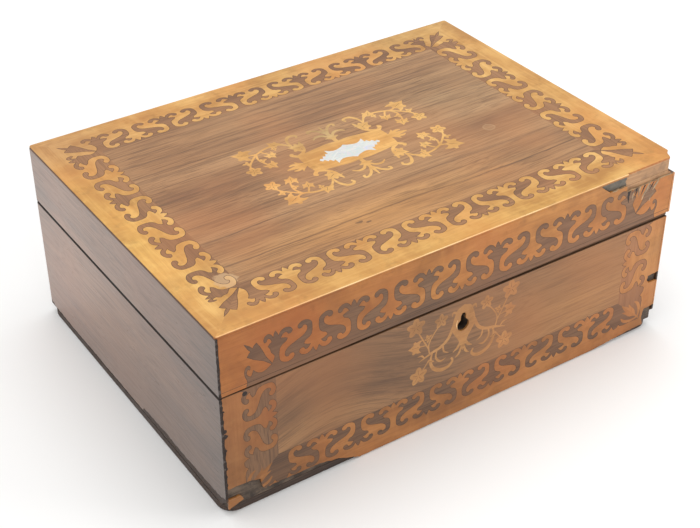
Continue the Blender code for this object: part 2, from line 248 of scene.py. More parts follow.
# And on the left side, in Y and Z: painted sheen, paler and greyer at the upper back, darker and warmer in
# the lower middle
SHEEN_PAINTED_LEFT = [
    ((0.075, 0.06), (0.07, 0.06), (1.45, 1.5, 1.6)),
    ((-0.025, 0.035), (0.06, 0.04), (0.82, 0.75, 0.6)),
]

# Dark veins of the top's panel: distance from the front, half width, strength, where it fades (x0, x1)
VEINS_TOP = [
    (0.0479, 0.00045, 0.8, (-0.13, 0.14)),
    (0.05, 0.0016, 0.34, (-0.01, 0.14)),
    (0.0676, 0.0012, 0.4, (0.015, 0.1)),
    (0.0705, 0.0018, 0.38, (-0.115, -0.092)),
    (0.0727, 0.0004, 0.7, (-0.1, -0.02)),
    (0.0885, 0.0006, 0.3, (-0.12, -0.04)),
    (0.107, 0.0022, 0.36, (-0.103, -0.062)),
    (0.119, 0.0007, 0.34, (-0.118, -0.05)),
    (0.1265, 0.0005, 0.36, (0.02, 0.12)),
    (0.145, 0.001, 0.34, (-0.118, -0.06)),
    (0.15, 0.0005, 0.55, (-0.118, 0.01)),
    (0.152, 0.0012, 0.34, (0.035, 0.11)),
    (0.159, 0.001, 0.4, (-0.05, 0.06)),
    (0.1635, 0.0005, 0.55, (-0.11, 0.09)),
    (0.169, 0.0006, 0.45, (-0.06, 0.1)),
    (0.178, 0.0005, 0.4, (-0.115, 0.02)),
    (0.1835, 0.0008, 0.36, (-0.02, 0.11)),
]
VEIN_FADE = 0.03


def oval(shader, axes, middle, half):
    """The square of the distance from a middle, counted in half sizes."""
    u, v = ((getattr(shader, axis) - centre) / size for axis, centre, size in zip(axes, middle, half))
    return u * u + v * v


def add_mark(shader, colour, axes, kind, middle, half, over, strength, ragged):
    """Paints one uneven oval patch, or only its ring, over a colour."""
    wander = (shader.noise(shader.place, 4, 0.65, 260) - 0.5) * (ragged * 4 / min(half))
    reach = shader.math("SQRT", oval(shader, axes, middle, half)) + wander
    core = strength if kind == "patch" else strength * 0.45
    return shader.tint(colour, (reach, ((0.62, core), (0.84, strength), (1, 0)), over))


def add_wash(shader, colour, axes, middle, half, gain):
    """Multiplies a colour by a gain round a middle, fading out without an edge."""
    share = shader.math("EXPONENT", oval(shader, axes, middle, half) * -1.6)
    return shader.mix(1, colour, shader.mix(share, (1, 1, 1, 1), (*gain, 1)), "MULTIPLY")


def add_vein(shader, colour, over, middle, half, strength, ends, seed):
    """Draws one dark vein along X, wavering a little and fading at its ends."""
    slow = shader.noise(shader.vector(shader.x * 14 + seed, 0.3, 0.7), 2)
    fine = shader.noise(shader.vector(shader.x * 120 + seed, 1.3, 0.2), 2)
    sway = (slow - 0.5) * 0.0075 + (fine - 0.5) * 0.001
    off = abs(shader.y + sway - (FRONT + middle)) / (half * 2)
    body = shader.ramp(off, (0, strength), (0.45, strength * 0.6), (1, 0))
    start = (shader.x - (ends[0] - VEIN_FADE)) / VEIN_FADE
    stop = (ends[1] + VEIN_FADE - shader.x) / VEIN_FADE
    kept = shader.math("MINIMUM", shader.math("MINIMUM", start, stop), 1)
    kept = shader.math("MAXIMUM", kept, 0) * (fine + 0.45)
    return shader.mix(body * kept, colour, linear(*over))


def add_side_shade_and_wear(shader, colour, edge, chips):
    """Darkens a side towards the front with painted shade, and colours its front edge, dark where chips
    reach it.
    """
    reach = (shader.y - FRONT) / (BACK - FRONT)
    # painted shade: darker towards the front, where the side catches less sheen
    colour = shader.tint(colour, (reach, ((0, 0.62), (0.1, 0.36), (0.45, 0)), (44, 36, 32)))
    speck = shader.noise(shader.place, 4, 0.6, 300)
    worn = shader.tint(linear(*edge), (speck, ((0.5, 0), (0.66, 0.4)), (60, 44, 34)))
    for low, high in chips:
        off = (speck - 0.5) * 0.002 + abs(shader.z - (low + high) / 2)
        worn = shader.mix(off < (high - low) / 2, worn, linear(66, 56, 48))
    return shader.mix(shader.y < FRONT + SIDE_ARRIS * 1.2, colour, worn)


# Axes along, across and through the grain, for a grain along X, Y or Z
GRAIN_AXES = {"X": "xyz", "Y": "yxz", "Z": "zxy"}


def grain(shader, way, along, across, wander=0, seed=0, arch=None):
    """Coordinates drawn out along the grain, with a slow wander across it."""
    run, side, through = (getattr(shader, axis) for axis in GRAIN_AXES[way])
    if wander:
        slow = shader.noise(shader.vector(run * 9 + seed, side * 16, through * 16), 2)
        drift = (slow - 0.5) * wander
        side, through = side + drift, through + drift
    if arch:
        middle, half, rise = arch
        offset = (run - middle) / half
        through = through - shader.math("EXPONENT", offset * offset * -1) * rise
    return shader.vector(run * along + seed, side * across + seed * 1.7, through * across)


def rosewood(name, way, seed, palette, marks=(), veins=(), axes="xy", arch=None, gloss=0.4, coat=0.08,
             contrast=1, washes=(), side_edge=None, chips=()):
    """Brown wood with long fine streaks, darker veins and short open pores."""
    shader = Shader(name)
    light, mid, dark, vein = palette
    broad = shader.noise(grain(shader, way, 4, 42, 0.012, seed, arch), 2)
    streak = shader.noise(grain(shader, way, 12, 640, 0.014, seed + 3, arch), 3, 0.6)
    thread = shader.noise(grain(shader, way, 30, 1400, 0.014, seed + 7, arch))
    pores = shader.noise(grain(shader, way, 190, 3400, 0, seed + 11), 2)
    cloud = shader.noise(shader.place, 2, scale=17)
    flush = shader.noise(shader.place, 2, scale=9)

    colour = shader.ramp(broad, (0.32, dark), (0.49, mid), (0.68, light))
    colour = shader.tint(
        colour,
        (streak, ((0.33, 0.62 * contrast), (0.49, 0)), vein),
        (streak, ((0.53, 0), (0.72, 0.4 * contrast)), light),
        (thread, ((0.34, 0.6 * contrast), (0.52, 0)), vein),
        (pores, ((0.3, 0.45 * contrast), (0.4, 0)), vein),
        (cloud, ((0.42, 0), (0.7, 0.3)), light),
        (flush, ((0.46, 0), (0.66, 0.45)), dimmed(mid, 1.12, 0.96, 0.8)),
    )
    for index, given in enumerate(veins):
        colour = add_vein(shader, colour, vein, *given, seed + 5.3 * index)
    colour = add_wear(shader, colour, axes, washes, marks)
    if side_edge:
        colour = add_side_shade_and_wear(shader, colour, side_edge, chips)

    shader.bump(thread * 0.5 + pores * 0.5, 0.35, 0.00012)
    rough = shader.ramp(thread, (0.3, gloss + 0.14), (0.7, gloss - 0.03))
    return shader.finish(colour, rough, coat, 0.28, 0.4)


def add_wear(shader, colour, axes, washes, marks):
    for wash in washes:
        colour = add_wash(shader, colour, axes, *wash)
    for mark in marks:
        colour = add_mark(shader, colour, axes, *mark)
    return colour


def satinwood(name, way, seed, palette, marks=(), washes=(), axes="xy"):
    """Honey-coloured wood with soft ribbons, faint streaks and handling dirt."""
    shader = Shader(name)
    light, mid, dark = palette
    ribbon = shader.noise(grain(shader, way, 20, 60, 0.012, seed), 3, 0.55)
    streak = shader.noise(grain(shader, way, 14, 520, 0.008, seed + 2), 4, 0.6)
    fine = shader.noise(grain(shader, way, 160, 2300, 0, seed + 5))
    flame = shader.noise(grain(shader, way, 170, 40, 0, seed + 9), 2)
    dirt = shader.noise(shader.place, 5, 0.65, 90)
    flush = shader.noise(shader.place, 2, scale=13)
    mottle = shader.noise(shader.place, 4, 0.6, 55)

    colour = shader.ramp(ribbon, (0.32, dark), (0.5, mid), (0.68, light))
    colour = shader.tint(
        colour,
        (streak, ((0.36, 0.4), (0.52, 0)), dark),
        (streak, ((0.55, 0), (0.72, 0.45)), light),
        (flame, ((0.52, 0), (0.7, 0.3)), light),
        (fine, ((0.33, 0.3), (0.48, 0)), dark),
        (flush, ((0.46, 0), (0.66, 0.55)), dimmed(mid, 1.02, 0.9, 0.84)),
        (mottle, ((0.36, 0.45), (0.5, 0)), dark),
        (mottle, ((0.54, 0), (0.7, 0.4)), light),
        (dirt, ((0.56, 0), (0.76, 0.34)), dimmed(dark, 0.6, 0.6, 0.6)),
    )
    colour = add_wear(shader, colour, axes, washes, marks)
    shader.bump(fine * 0.6 + streak * 0.4, 0.3, 0.0001)
    return shader.finish(colour, shader.ramp(dirt, (0.35, 0.38), (0.75, 0.54)), 0.06, 0.28, 0.4)


def carcass_wood(name, light, dark, grime, seed, way="X"):
    """Bare cheap wood under the veneer, with old glue and dirt."""
    shader = Shader(name)
    streak = shader.noise(grain(shader, way, 25, 900, 0.004, seed), 4, 0.6)
    blot = shader.noise(shader.place, 5, 0.6, 150)
    glue = shader.node("ShaderNodeTexVoronoi", {
        "Vector": grain(shader, way, 120, 380, 0.004, seed), "Scale": 1}, "Distance")
    colour = shader.tint(
        shader.ramp(streak, (0.34, dark), (0.62, light)),
        (blot, ((0.4, 0.85), (0.62, 0)), grime),
        (glue, ((0.18, 0.35), (0.34, 0)), light),
    )
    shader.bump(streak * 0.7 + blot * 0.6, 0.6, 0.0003)
    return shader.finish(colour, shader.ramp(blot, (0.3, 0.62), (0.7, 0.86)), specular=0.3)


def worn_rail(name):
    """The lid's front rail where its veneer is gone: smooth brown at the end, dark and dirty beside it."""
    shader = Shader(name)
    streak = shader.noise(grain(shader, "X", 14, 700, 0.004, 8.4), 4, 0.6)
    blot = shader.noise(shader.place, 5, 0.6, 170)
    colour = shader.ramp(streak, (0.3, (159, 120, 87)), (0.66, (196, 153, 113)))
    colour = shader.tint(colour, (blot, ((0.34, 0.45), (0.52, 0)), (104, 78, 60)))
    dirty = shader.ramp(blot, (0.35, (80, 76, 70)), (0.65, (126, 118, 106)))
    across = (blot - 0.5) * 0.006 + shader.x - LID_STRIP_START
    colour = shader.mix(shader.ramp(across * 600 + 0.5, (0.35, 1), (0.65, 0)), colour, dirty)
    shader.bump(streak * 0.6 + blot * 0.4, 0.5, 0.0002)
    return shader.finish(colour, shader.ramp(blot, (0.3, 0.5), (0.7, 0.75)), specular=0.35)


def stained_edge(name, light, dark, seed):
    """Black-stained edge wood, rubbed brown in places; the near-black one also stands for painted shade in
    joints and a nail hole.
    """
    shader = Shader(name)
    streak = shader.noise(grain(shader, "X", 30, 1100, 0.003, seed), 4, 0.6)
    rub = shader.noise(shader.place, 5, 0.6, 110)
    colour = shader.ramp(streak, (0.35, dark), (0.7, light))
    colour = shader.tint(colour, (rub, ((0.56, 0), (0.74, 0.6)), light))
    shader.bump(streak + rub, 0.5, 0.0002)
    return shader.finish(colour, shader.ramp(rub, (0.3, 0.46), (0.7, 0.72)), specular=0.4)


def mother_of_pearl(name):
    """Pale nacre whose bands turn faintly blue, green and rose."""
    shader = Shader(name)
    x, y, z = shader.x, shader.y, shader.z
    flow = shader.noise(shader.vector(x * 120, y * 260, z * 260), 2, distortion=1.2)
    hue = shader.noise(shader.vector(x * 90, y * 160, z * 160), 2, distortion=2.5)
    colour = shader.ramp(
        hue, (0.3, (188, 200, 208)), (0.42, (216, 212, 204)), (0.5, (198, 212, 210)),
        (0.58, (220, 208, 206)), (0.68, (202, 208, 224)),
    )
    colour = shader.tint(colour, (flow, ((0.42, 0), (0.6, 0.45)), (228, 226, 216)))
    shader.bump(flow, 0.35, 0.0003)
    return shader.finish(colour, shader.ramp(flow, (0.3, 0.16), (0.7, 0.34)), 0.6, 0.12)


def filler(name):
    """Dark glue in the saw cuts between the woods, and in the engraved lines."""
    shader = Shader(name)
    speck = shader.noise(shader.place, scale=900)
    colour = shader.ramp(speck, (0.35, (70, 48, 34)), (0.7, (112, 78, 54)))
    shader.bump(speck, 0.3, 0.0001)
    return shader.finish(colour, shader.ramp(speck, (0.3, 0.6), (0.7, 0.8)))


# Smooth lines and shapes, in millimetres of each face

def smooth(points, steps=3):
    """A curve through the points, without the last one."""
    ends = [points[0], *points, points[-1]]
    made = []
    for near in zip(ends, points, points[1:], ends[3:]):
        for t in (step / steps for step in range(steps)):
            made.append(tuple(
                0.5 * (2 * b + (c - a) * t + (2 * a - 5 * b + 4 * c - d) * t * t
                       + (3 * b - a - 3 * c + d) * t ** 3)
                for a, b, c, d in zip(*near)
            ))
    return made


def joined(runs):
    """The smooth curves through several runs of points, one after another."""
    return [point for run in runs for point in smooth(run)]


# One half of the counterchanged scroll, from a light palmette's tip to the middle point, as shares of the
# half pitch and of the band's width. The other half is the same turned round the middle point.
SCROLL_STROKES = [
    [(0, 1.02), (0.045, 0.95), (0.075, 0.86)],
    [(0.075, 0.86), (0.14, 0.955), (0.25, 1), (0.37, 0.955), (0.425, 0.86), (0.39, 0.785),
     (0.315, 0.785), (0.285, 0.845)],
    [(0.285, 0.845), (0.24, 0.865), (0.18, 0.83), (0.13, 0.75)],
    [(0.13, 0.75), (0.2, 0.735), (0.3, 0.68)],
    [(0.3, 0.68), (0.26, 0.6), (0.17, 0.55), (0.11, 0.48), (0.085, 0.38), (0.08, 0.25), (0.1, 0.12),
     (0.18, 0.035), (0.3, 0), (0.41, 0.04), (0.455, 0.12), (0.42, 0.195), (0.345, 0.195), (0.305, 0.14)],
    [(0.305, 0.14), (0.25, 0.155), (0.215, 0.22), (0.23, 0.32), (0.32, 0.42), (0.5, 0.5)],
]


def half_scroll():
    """The boundary from a light palmette's axis to the next dark one's."""
    points = joined(SCROLL_STROKES)
    return points + [(0.5, 0.5)] + [(1 - u, 1 - v) for u, v in reversed(points)]


def band_run(axes, width, first_is_dark=True):
    """The boundary along a band, as (along, from the outer line inward), through alternate axes."""
    cell = half_scroll()
    points = []
    for index in range(len(axes) - 1):
        start, end = axes[index], axes[index + 1]
        to_light = (index % 2 == 0) == first_is_dark
        if to_light:
            part = [(start + (1 - u) * (end - start), v * width) for u, v in reversed(cell)]
        else:
            part = [(start + u * (end - start), v * width) for u, v in cell]
        points += part[:-1]
    points.append(part[-1])
    return points


def corner_half(a, k):
    """Half of a corner's dark leaf with the half palmette beside it, at offset a and spread k."""
    return joined([
        [(a, 1.02), (a + 0.045 * k, 0.95), (a + 0.075 * k, 0.86)],
        [(a + 0.075 * k, 0.86), (a + 0.14 * k, 0.955), (a + 0.25 * k, 1), (a + 0.36 * k, 0.95),
         (a + 0.4 * k, 0.86), (a + 0.37 * k, 0.785), (a + 0.305 * k, 0.79), (a + 0.275 * k, 0.845)],
        [(a + 0.275 * k, 0.845), (a + 0.22 * k, 0.86), (a + 0.17 * k, 0.82), (a + 0.13 * k, 0.74)],
        [(a + 0.13 * k, 0.74), (a + 0.2 * k, 0.71), (a + 0.27 * k, 0.65)],
        [(a + 0.27 * k, 0.65), (a + 0.2 * k, 0.56), (a + 0.16 * k, 0.44), (0.03, 0.3), (0.11, 0.14)],
        [(0.11, 0.14), (0.2, 0.26), (0.3, 0.4), (0.38, 0.57), (0.46, 0.72), (0.58, 0.9)],
        [(0.58, 0.9), (0.66, 0.84), (0.71, 0.78)],
        [(0.71, 0.78), (0.8, 0.87), (0.98, 0.98)],
    ])


def corner_run(start, along, outward, width_along, width_out, first, second):
    """The boundary round a corner; first and second are (offset, spread) of its two half palmettes."""
    shares = corner_half(*first) + [(0.98, 0.98)]
    shares += [(q, p) for p, q in reversed(corner_half(*second))]
    return [
        tuple(start[axis] + along[axis] * p * width_along + outward[axis] * q * width_out for axis in (0, 1))
        for p, q in shares
    ]


def stroke(points, widths, steps=5):
    """The outline of a ribbon that follows a smooth line, with a width at each given point."""
    line = smooth([(*point, width) for point, width in zip(points, widths)], steps)
    line.append((*points[-1], widths[-1]))
    left, right = [], []
    for index, (u, v, width) in enumerate(line):
        before = line[max(index - 1, 0)]
        after = line[min(index + 1, len(line) - 1)]
        run_u, run_v = after[0] - before[0], after[1] - before[1]
        length = math.hypot(run_u, run_v) or 1
        side_u, side_v = -run_v / length * width / 2, run_u / length * width / 2
        left.append((u + side_u, v + side_v))
        right.append((u - side_u, v - side_v))
    return left + right[::-1]


def disc(middle, radius, count=14):
    return [
        (middle[0] + radius * math.cos(2 * math.pi * step / count),
         middle[1] + radius * math.sin(2 * math.pi * step / count))
        for step in range(count)
    ]


IVY_LEAF = [
    (0, -0.07), (0.1, -0.16), (0.02, -0.34), (-0.16, -0.5), (0.14, -0.5), (0.34, -0.42), (0.46, -0.52),
    (0.6, -0.46), (0.58, -0.26), (0.72, -0.15), (1, 0),
]
LILY_LEAF = [
    (0, -0.06), (0.22, -0.1), (0.26, -0.3), (0.42, -0.48), (0.5, -0.3), (0.6, -0.14), (0.8, -0.12),
    (1, 0),
]


def leaf(template, place, angle, size):
    """A leaf from its half outline, with its stalk end at a place and pointing along an angle in degrees."""
    whole = template + [(u, -v) for u, v in reversed(template[:-1])]
    turn = math.radians(angle)
    return [
        (place[0] + size * (u * math.cos(turn) - v * math.sin(turn)),
         place[1] + size * (u * math.sin(turn) + v * math.cos(turn)))
        for u, v in whole
    ]


def blossom(middle, radius, lobes, angle=0, count=40):
    """An open flower with pointed lobes."""
    made = []
    for step in range(count):
        turn = 2 * math.pi * step / count
        reach = 0.6 + 0.4 * abs(math.cos(lobes * (turn - math.radians(angle)) / 2)) ** 1.4
        made.append((middle[0] + radius * reach * math.cos(turn),
                     middle[1] + radius * reach * math.sin(turn)))
    return made


def mirrored(shapes, sides):
    return [[(u * a, v * b) for u, v in shape] for a, b in sides for shape in shapes]


def moved(shapes, offset):
    return [[(u + offset[0], v + offset[1]) for u, v in shape] for shape in shapes]


def ragged(outline, size, seed, spacing):
    """An outline broken into short uneven runs, as torn veneer is."""
    chance = random.Random(seed)
    made = []
    for index, start in enumerate(outline):
        end = outline[(index + 1) % len(outline)]
        length = math.hypot(end[0] - start[0], end[1] - start[1])
        pieces = max(int(length / spacing), 1)
        for step in range(pieces):
            t = step / pieces
            made.append((
                start[0] + (end[0] - start[0]) * t + chance.uniform(-size, size),
                start[1] + (end[1] - start[1]) * t + chance.uniform(-size, size),
            ))
    return made


def inside(points, outline):
    """Which of the points lie inside an outline, by its winding number."""
    result = np.zeros(len(points), dtype=bool)
    shape = np.asarray(outline)
    low, high = shape.min(axis=0), shape.max(axis=0)
    near = np.where(np.all((points >= low) & (points <= high), axis=1))[0]
    if not len(near):
        return result
    px, py = points[near, 0], points[near, 1]
    winding = np.zeros(len(near), dtype=int)
    for index in range(len(shape)):
        x0, y0 = shape[index - 1]
        x1, y1 = shape[index]
        side = (x1 - x0) * (py - y0) - (px - x0) * (y1 - y0)
        winding += (y0 <= py) & (y1 > py) & (side > 0)
        winding -= (y0 > py) & (y1 <= py) & (side < 0)
    result[near] = winding != 0
    return result


def anticlockwise(outline):
    """The same outline, turned so that its inside lies to the left of its line."""
    area = sum(outline[index - 1][0] * outline[index][1] - outline[index][0] * outline[index - 1][1]
               for index in range(len(outline)))
    return outline if area > 0 else outline[::-1]


def inset(outline, margin):
    """An outline moved inward by a margin along its mitres, or outward where the margin is negative."""
    outline = anticlockwise(outline)
    made = []
    count = len(outline)
    for index in range(count):
        before, here, after = (Vector(outline[index - 1]), Vector(outline[index]),
                               Vector(outline[(index + 1) % count]))
        first = (here - before).normalized()
        second = (after - here).normalized()
        normal = Vector((-first.y - second.y, first.x + second.x)).normalized()
        stretch = max(normal.dot(Vector((-first.y, first.x))), 0.3)
        made.append(tuple(here + normal * (margin / stretch)))
    return made


# Growth of the front sheets past the CAD's clearance, and the width of the dark saw cuts, in millimetres
SHEET_GROWTH = 0.25
SAW_CUT = 0.3


def lies_in(flags, wanted, count):
    """Which spots lie in every wanted group, or outside it after a minus."""
    result = np.ones(count, dtype=bool)
    for label in wanted.split():
        result &= ~flags[label[1:]] if label[0] == "-" else flags[label]
    return result


def marquetry_sheet(name, target, outline, losses, groups, rules, place, woods, arris=ARRIS, side_wood=None):
    """A veneer sheet whose face is cut into its woods, for a (slot, node) target whose slot is not used.
    Shapes are in millimetres; place(u, v, depth) gives a point in metres; rules list (wood, groups), and the
    first that fits a spot counts; side_wood(u, v) names the wood of the sheet's edge, or gives None for the
    face's own."""
    points, faces = [], []
    for shape in sum(groups.values(), [outline, inset(outline, arris)] + losses):
        faces.append(list(range(len(points), len(points) + len(shape))))
        points += [Vector(point) for point in shape]
    flat, _, triangles, *_ = delaunay_2d_cdt(points, [], faces, 0, 1e-5, False)
    spots = np.array([[point.x, point.y] for point in flat])
    triangles = np.array([list(triangle) for triangle in triangles])
    middles = spots[triangles].mean(axis=1)

    kept = inside(middles, outline)
    for loss in losses:
        kept &= ~inside(middles, loss)
    triangles, middles = triangles[kept], middles[kept]
    count = len(middles)
    flags = {label: np.zeros(count, dtype=bool) for label in groups}
    for label, group in groups.items():
        for shape in group:
            flags[label] |= inside(middles, shape)
    wood_of = [""] * count
    for wood, wanted in reversed(rules):
        for index in np.where(lies_in(flags, wanted, count))[0]:
            wood_of[index] = wood

    on_rim = distance_to_outline(spots, outline) < 1e-3
    used = sorted({int(index) for triangle in triangles for index in triangle})
    number = {index: position for position, index in enumerate(used)}
    front, back = [], []
    for index in used:
        u, v = spots[index]
        front.append(place(u * MM, v * MM, arris * 0.8 * MM if on_rim[index] else 0))
        back.append(place(u * MM, v * MM, VENEER))
    count = len(used)
    polygons, picks, edges = [], [], {}
    for triangle, wood in zip(triangles, wood_of):
        a, b, c = (number[int(index)] for index in triangle)
        polygons += [(a, b, c), (c + count, b + count, a + count)]
        picks += [wood, wood]
        for edge in ((a, b), (b, c), (c, a)):
            if edge[::-1] in edges:
                del edges[edge[::-1]]
            else:
                edges[edge] = wood
    for (a, b), wood in edges.items():
        u, v = (spots[used[a]] + spots[used[b]]) / 2
        polygons.append((b, a, a + count, b + count))
        picks.append(side_wood and side_wood(u, v) or wood)

    mesh = bpy.data.meshes.new(name)
    mesh.from_pydata(front + back, [], polygons)
    names = sorted(set(picks))
    for wood in names:
        mesh.materials.append(woods[wood])
    mesh.polygons.foreach_set("material_index", [names.index(wood) for wood in picks])
    mesh.update()
    finish_piece(name, mesh, *target)


def distance_to_outline(spots, outline):
    """The distance of each spot from the nearest side of an outline."""
    nearest = np.full(len(spots), 1e9)
    for index in range(len(outline)):
        start, end = np.array(outline[index - 1]), np.array(outline[index])
        run = end - start
        share = np.clip(((spots - start) @ run) / (run @ run), 0, 1)
        nearest = np.minimum(nearest, np.linalg.norm(spots - (start + share[:, None] * run), axis=1))
    return nearest


def rectangle(u0, u1, v0, v1):
    return [(u0, v0), (u1, v0), (u1, v1), (u0, v1)]


def rounded_rectangle(u0, u1, v0, v1, radius, segments):
    made = []
    for centre_u, centre_v, start in (
        (u0 + radius, v0 + radius, math.pi), (u1 - radius, v0 + radius, math.pi * 1.5),
        (u1 - radius, v1 - radius, 0), (u0 + radius, v1 - radius, math.pi * 0.5),
    ):
        for step in range(segments + 1):
            angle = start + math.pi / 2 * step / segments
            made.append((centre_u + radius * math.cos(angle), centre_v + radius * math.sin(angle)))
    return made


# Top: millimetres from the left end and from the front

TOP_LEFT_LINES = (11.3, 32)
TOP_RIGHT_LINES = (13.5, 34.5)
TOP_FRONT_LINES = (11.6, 31.5)
TOP_BACK_LINES = (11.8, 30.4)
TOP_FRONT_AXES = [34.5, 56.5, 79, 101.6, 126, 149.4, 172.4, 195, 219, 242.4, 266]
TOP_LEFT_AXES = [31.6, 58, 84, 110, 136.9, 163.8, 190.2]
TOP_RIGHT_AXES = [32, 58.7, 84.6, 110.6, 135.8, 161, 187.3]
LENGTH_MM = LENGTH / MM
DEPTH_MM = DEPTH / MM


def top_ground():
    """The dark ground of the top, with its scrolled edge."""
    left_out, left_in = TOP_LEFT_LINES
    right_out, right_in = LENGTH_MM - TOP_RIGHT_LINES[0], LENGTH_MM - TOP_RIGHT_LINES[1]
    front_out, front_in = TOP_FRONT_LINES
    back_out, back_in = DEPTH_MM - TOP_BACK_LINES[0], DEPTH_MM - TOP_BACK_LINES[1]
    left_width, right_width = left_in - left_out, right_out - right_in
    front_width, back_width = front_in - front_out, back_out - back_in
    close, tight = (-0.12, 1), (-0.02, 0.78)

    points = [(s, front_out + t) for s, t in band_run(TOP_FRONT_AXES, front_width)]
    points += corner_run((right_in, front_in), (1, 0), (0, -1), right_width, front_width, tight, tight)
    points += [(right_out - t, s) for s, t in band_run(TOP_RIGHT_AXES, right_width)]
    points += corner_run((right_in, back_in), (0, 1), (1, 0), back_width, right_width, tight, tight)
    points += [(LENGTH_MM - s, back_out - t)
               for s, t in band_run([LENGTH_MM - axis for axis in reversed(TOP_FRONT_AXES)], back_width)]
    points += corner_run((left_in, back_in), (-1, 0), (0, 1), left_width, back_width, close, (-0.04, 0.8))
    points += [(left_out + t, DEPTH_MM - s) for s, t in band_run(TOP_LEFT_AXES, left_width)]
    points += corner_run((left_in, front_in), (0, -1), (-1, 0), front_width, left_width, (0.1, 0.5), close)
    return points


# Foliage: stems as (points, widths), leaves as (template, place, angle, size), flowers as (middle, radius)

def foliage(stems, leaves, flowers, sides, middle, growth):
    """The light shapes of a foliate ornament and the engraved lines in them, mirrored to its sides."""
    shapes = [stroke(points, [width + growth for width in widths]) for points, widths in stems]
    shapes += [leaf(*given) for given in leaves]
    shapes += [blossom(place, radius, 5, 90) for place, radius in flowers]
    ribs = [leaf_rib(*given[1:]) for given in leaves]
    for (u, v), radius in flowers:
        ribs += [leaf_rib((u, v), 90 + 72 * petal, radius) for petal in range(5)]
    return moved(mirrored(shapes, sides), middle), moved(mirrored(ribs, sides), middle)


def leaf_rib(place, angle, size):
    """The engraved line down the middle of a leaf or petal."""
    turn = math.radians(angle)
    line = [(place[0] + size * share * math.cos(turn), place[1] + size * share * math.sin(turn))
            for share in (0.14, 0.42, 0.66)]
    return stroke(line, [0.2, 0.17, 0.08], 2)


# Cartouche round the plaque: one quarter of its foliage, from its middle, in millimetres

ALL_QUARTERS = ((1, 1), (-1, 1), (1, -1), (-1, -1))
CARTOUCHE_MIDDLE = (149.6, DEPTH_MM - 108.6)
CARTOUCHE_OVAL = [
    (29, 0), (28.9, 5.5), (27.6, 9.6), (22.5, 10.9), (14, 12), (7, 12.8), (0, 12.4),
]
CARTOUCHE_STEMS = [
    ([(0, 11), (0.1, 18), (0, 25), (0, 31.5)], [2, 2.4, 1.8, 0.5]),
    ([(0.3, 15.5), (2.2, 17.4), (4.4, 17.6)], [1.2, 1.6, 0.3]),
    ([(0.4, 17), (3.6, 21.6), (7.6, 22.6), (11, 20.4)], [1, 1.6, 1.4, 0.5]),
    ([(0.4, 22), (2.8, 27.2), (5.6, 30), (7.6, 30.8)], [0.9, 1.4, 1.5, 1.1]),
    ([(7.2, 30.9), (8.8, 30.4), (8.8, 28.8), (7.6, 28.6)], [1.2, 1.4, 1.2, 0.6]),
    ([(27, 10), (22.8, 12.2), (20.2, 16), (19.6, 20.4), (18.6, 24.2)], [1.8, 1.8, 1.6, 1.9, 0.6]),
    ([(24.8, 21), (24.6, 26.8), (22, 31.4), (18.6, 32.2), (16.6, 30.6), (17.4, 28.6)],
     [0.9, 1.4, 1.8, 1.6, 1.5, 0.9]),
    ([(25.2, 22), (28.6, 26.6), (34, 28.4), (40.5, 27.6), (46.5, 25.2), (51, 26.6)],
     [0.9, 1.2, 1.4, 1.2, 1.2, 1]),
    ([(46.5, 25.2), (48.4, 19.8), (47.4, 14), (45.6, 10.4)], [1.1, 1, 0.9, 0.9]),
    ([(46.5, 25.2), (51.2, 21), (55.4, 16.4), (57, 12.6)], [1.1, 1, 0.9, 0.9]),
    ([(43.6, 26.2), (41.6, 23.4), (40.2, 20.8)], [0.9, 0.9, 0.9]),
    ([(27.4, 9.4), (29.4, 11.2), (30.4, 12.8), (29.2, 14)], [2.4, 2.2, 2.2, 1.4]),
    ([(28.6, 0.6), (31.8, 2.6), (33.4, 5.4)], [1.5, 1.8, 0.5]),
    ([(31.6, 1.6), (35.4, 3.2), (38.2, 2.8)], [1.3, 1.7, 0.5]),
    ([(28, 0), (34, 0), (41, 0)], [2.4, 3.4, 0.5]),
]
CARTOUCHE_LEAVES = [
    (IVY_LEAF, (20.4, 17), 30, 8.6),
    (IVY_LEAF, (31.8, 26.4), 62, 7.4),
    (LILY_LEAF, (34.4, 27), -84, 4.6),
    (IVY_LEAF, (50.2, 26.2), 28, 11),
    (IVY_LEAF, (46, 12.6), -112, 7.4),
    (LILY_LEAF, (53.6, 18.6), 8, 5.6),
    (LILY_LEAF, (49, 17), 176, 5),
    (IVY_LEAF, (40.6, 21.8), -110, 6.4),
]
CARTOUCHE_FLOWERS = [((56.8, 9.4), 4.9)]


def cartouche():
    """The cartouche's light shapes and the engraved lines in its leaves."""
    shapes, ribs = foliage(CARTOUCHE_STEMS, CARTOUCHE_LEAVES, CARTOUCHE_FLOWERS, ALL_QUARTERS,
                           CARTOUCHE_MIDDLE, 0.25)
    quarter = smooth(CARTOUCHE_OVAL) + [CARTOUCHE_OVAL[-1]]
    upper = quarter + [(-u, v) for u, v in reversed(quarter[:-1])]
    shapes += moved([upper + [(u, -v) for u, v in reversed(upper[1:-1])]], CARTOUCHE_MIDDLE)
    return shapes, ribs


# Plaque's outline, as the CAD draws it, in millimetres

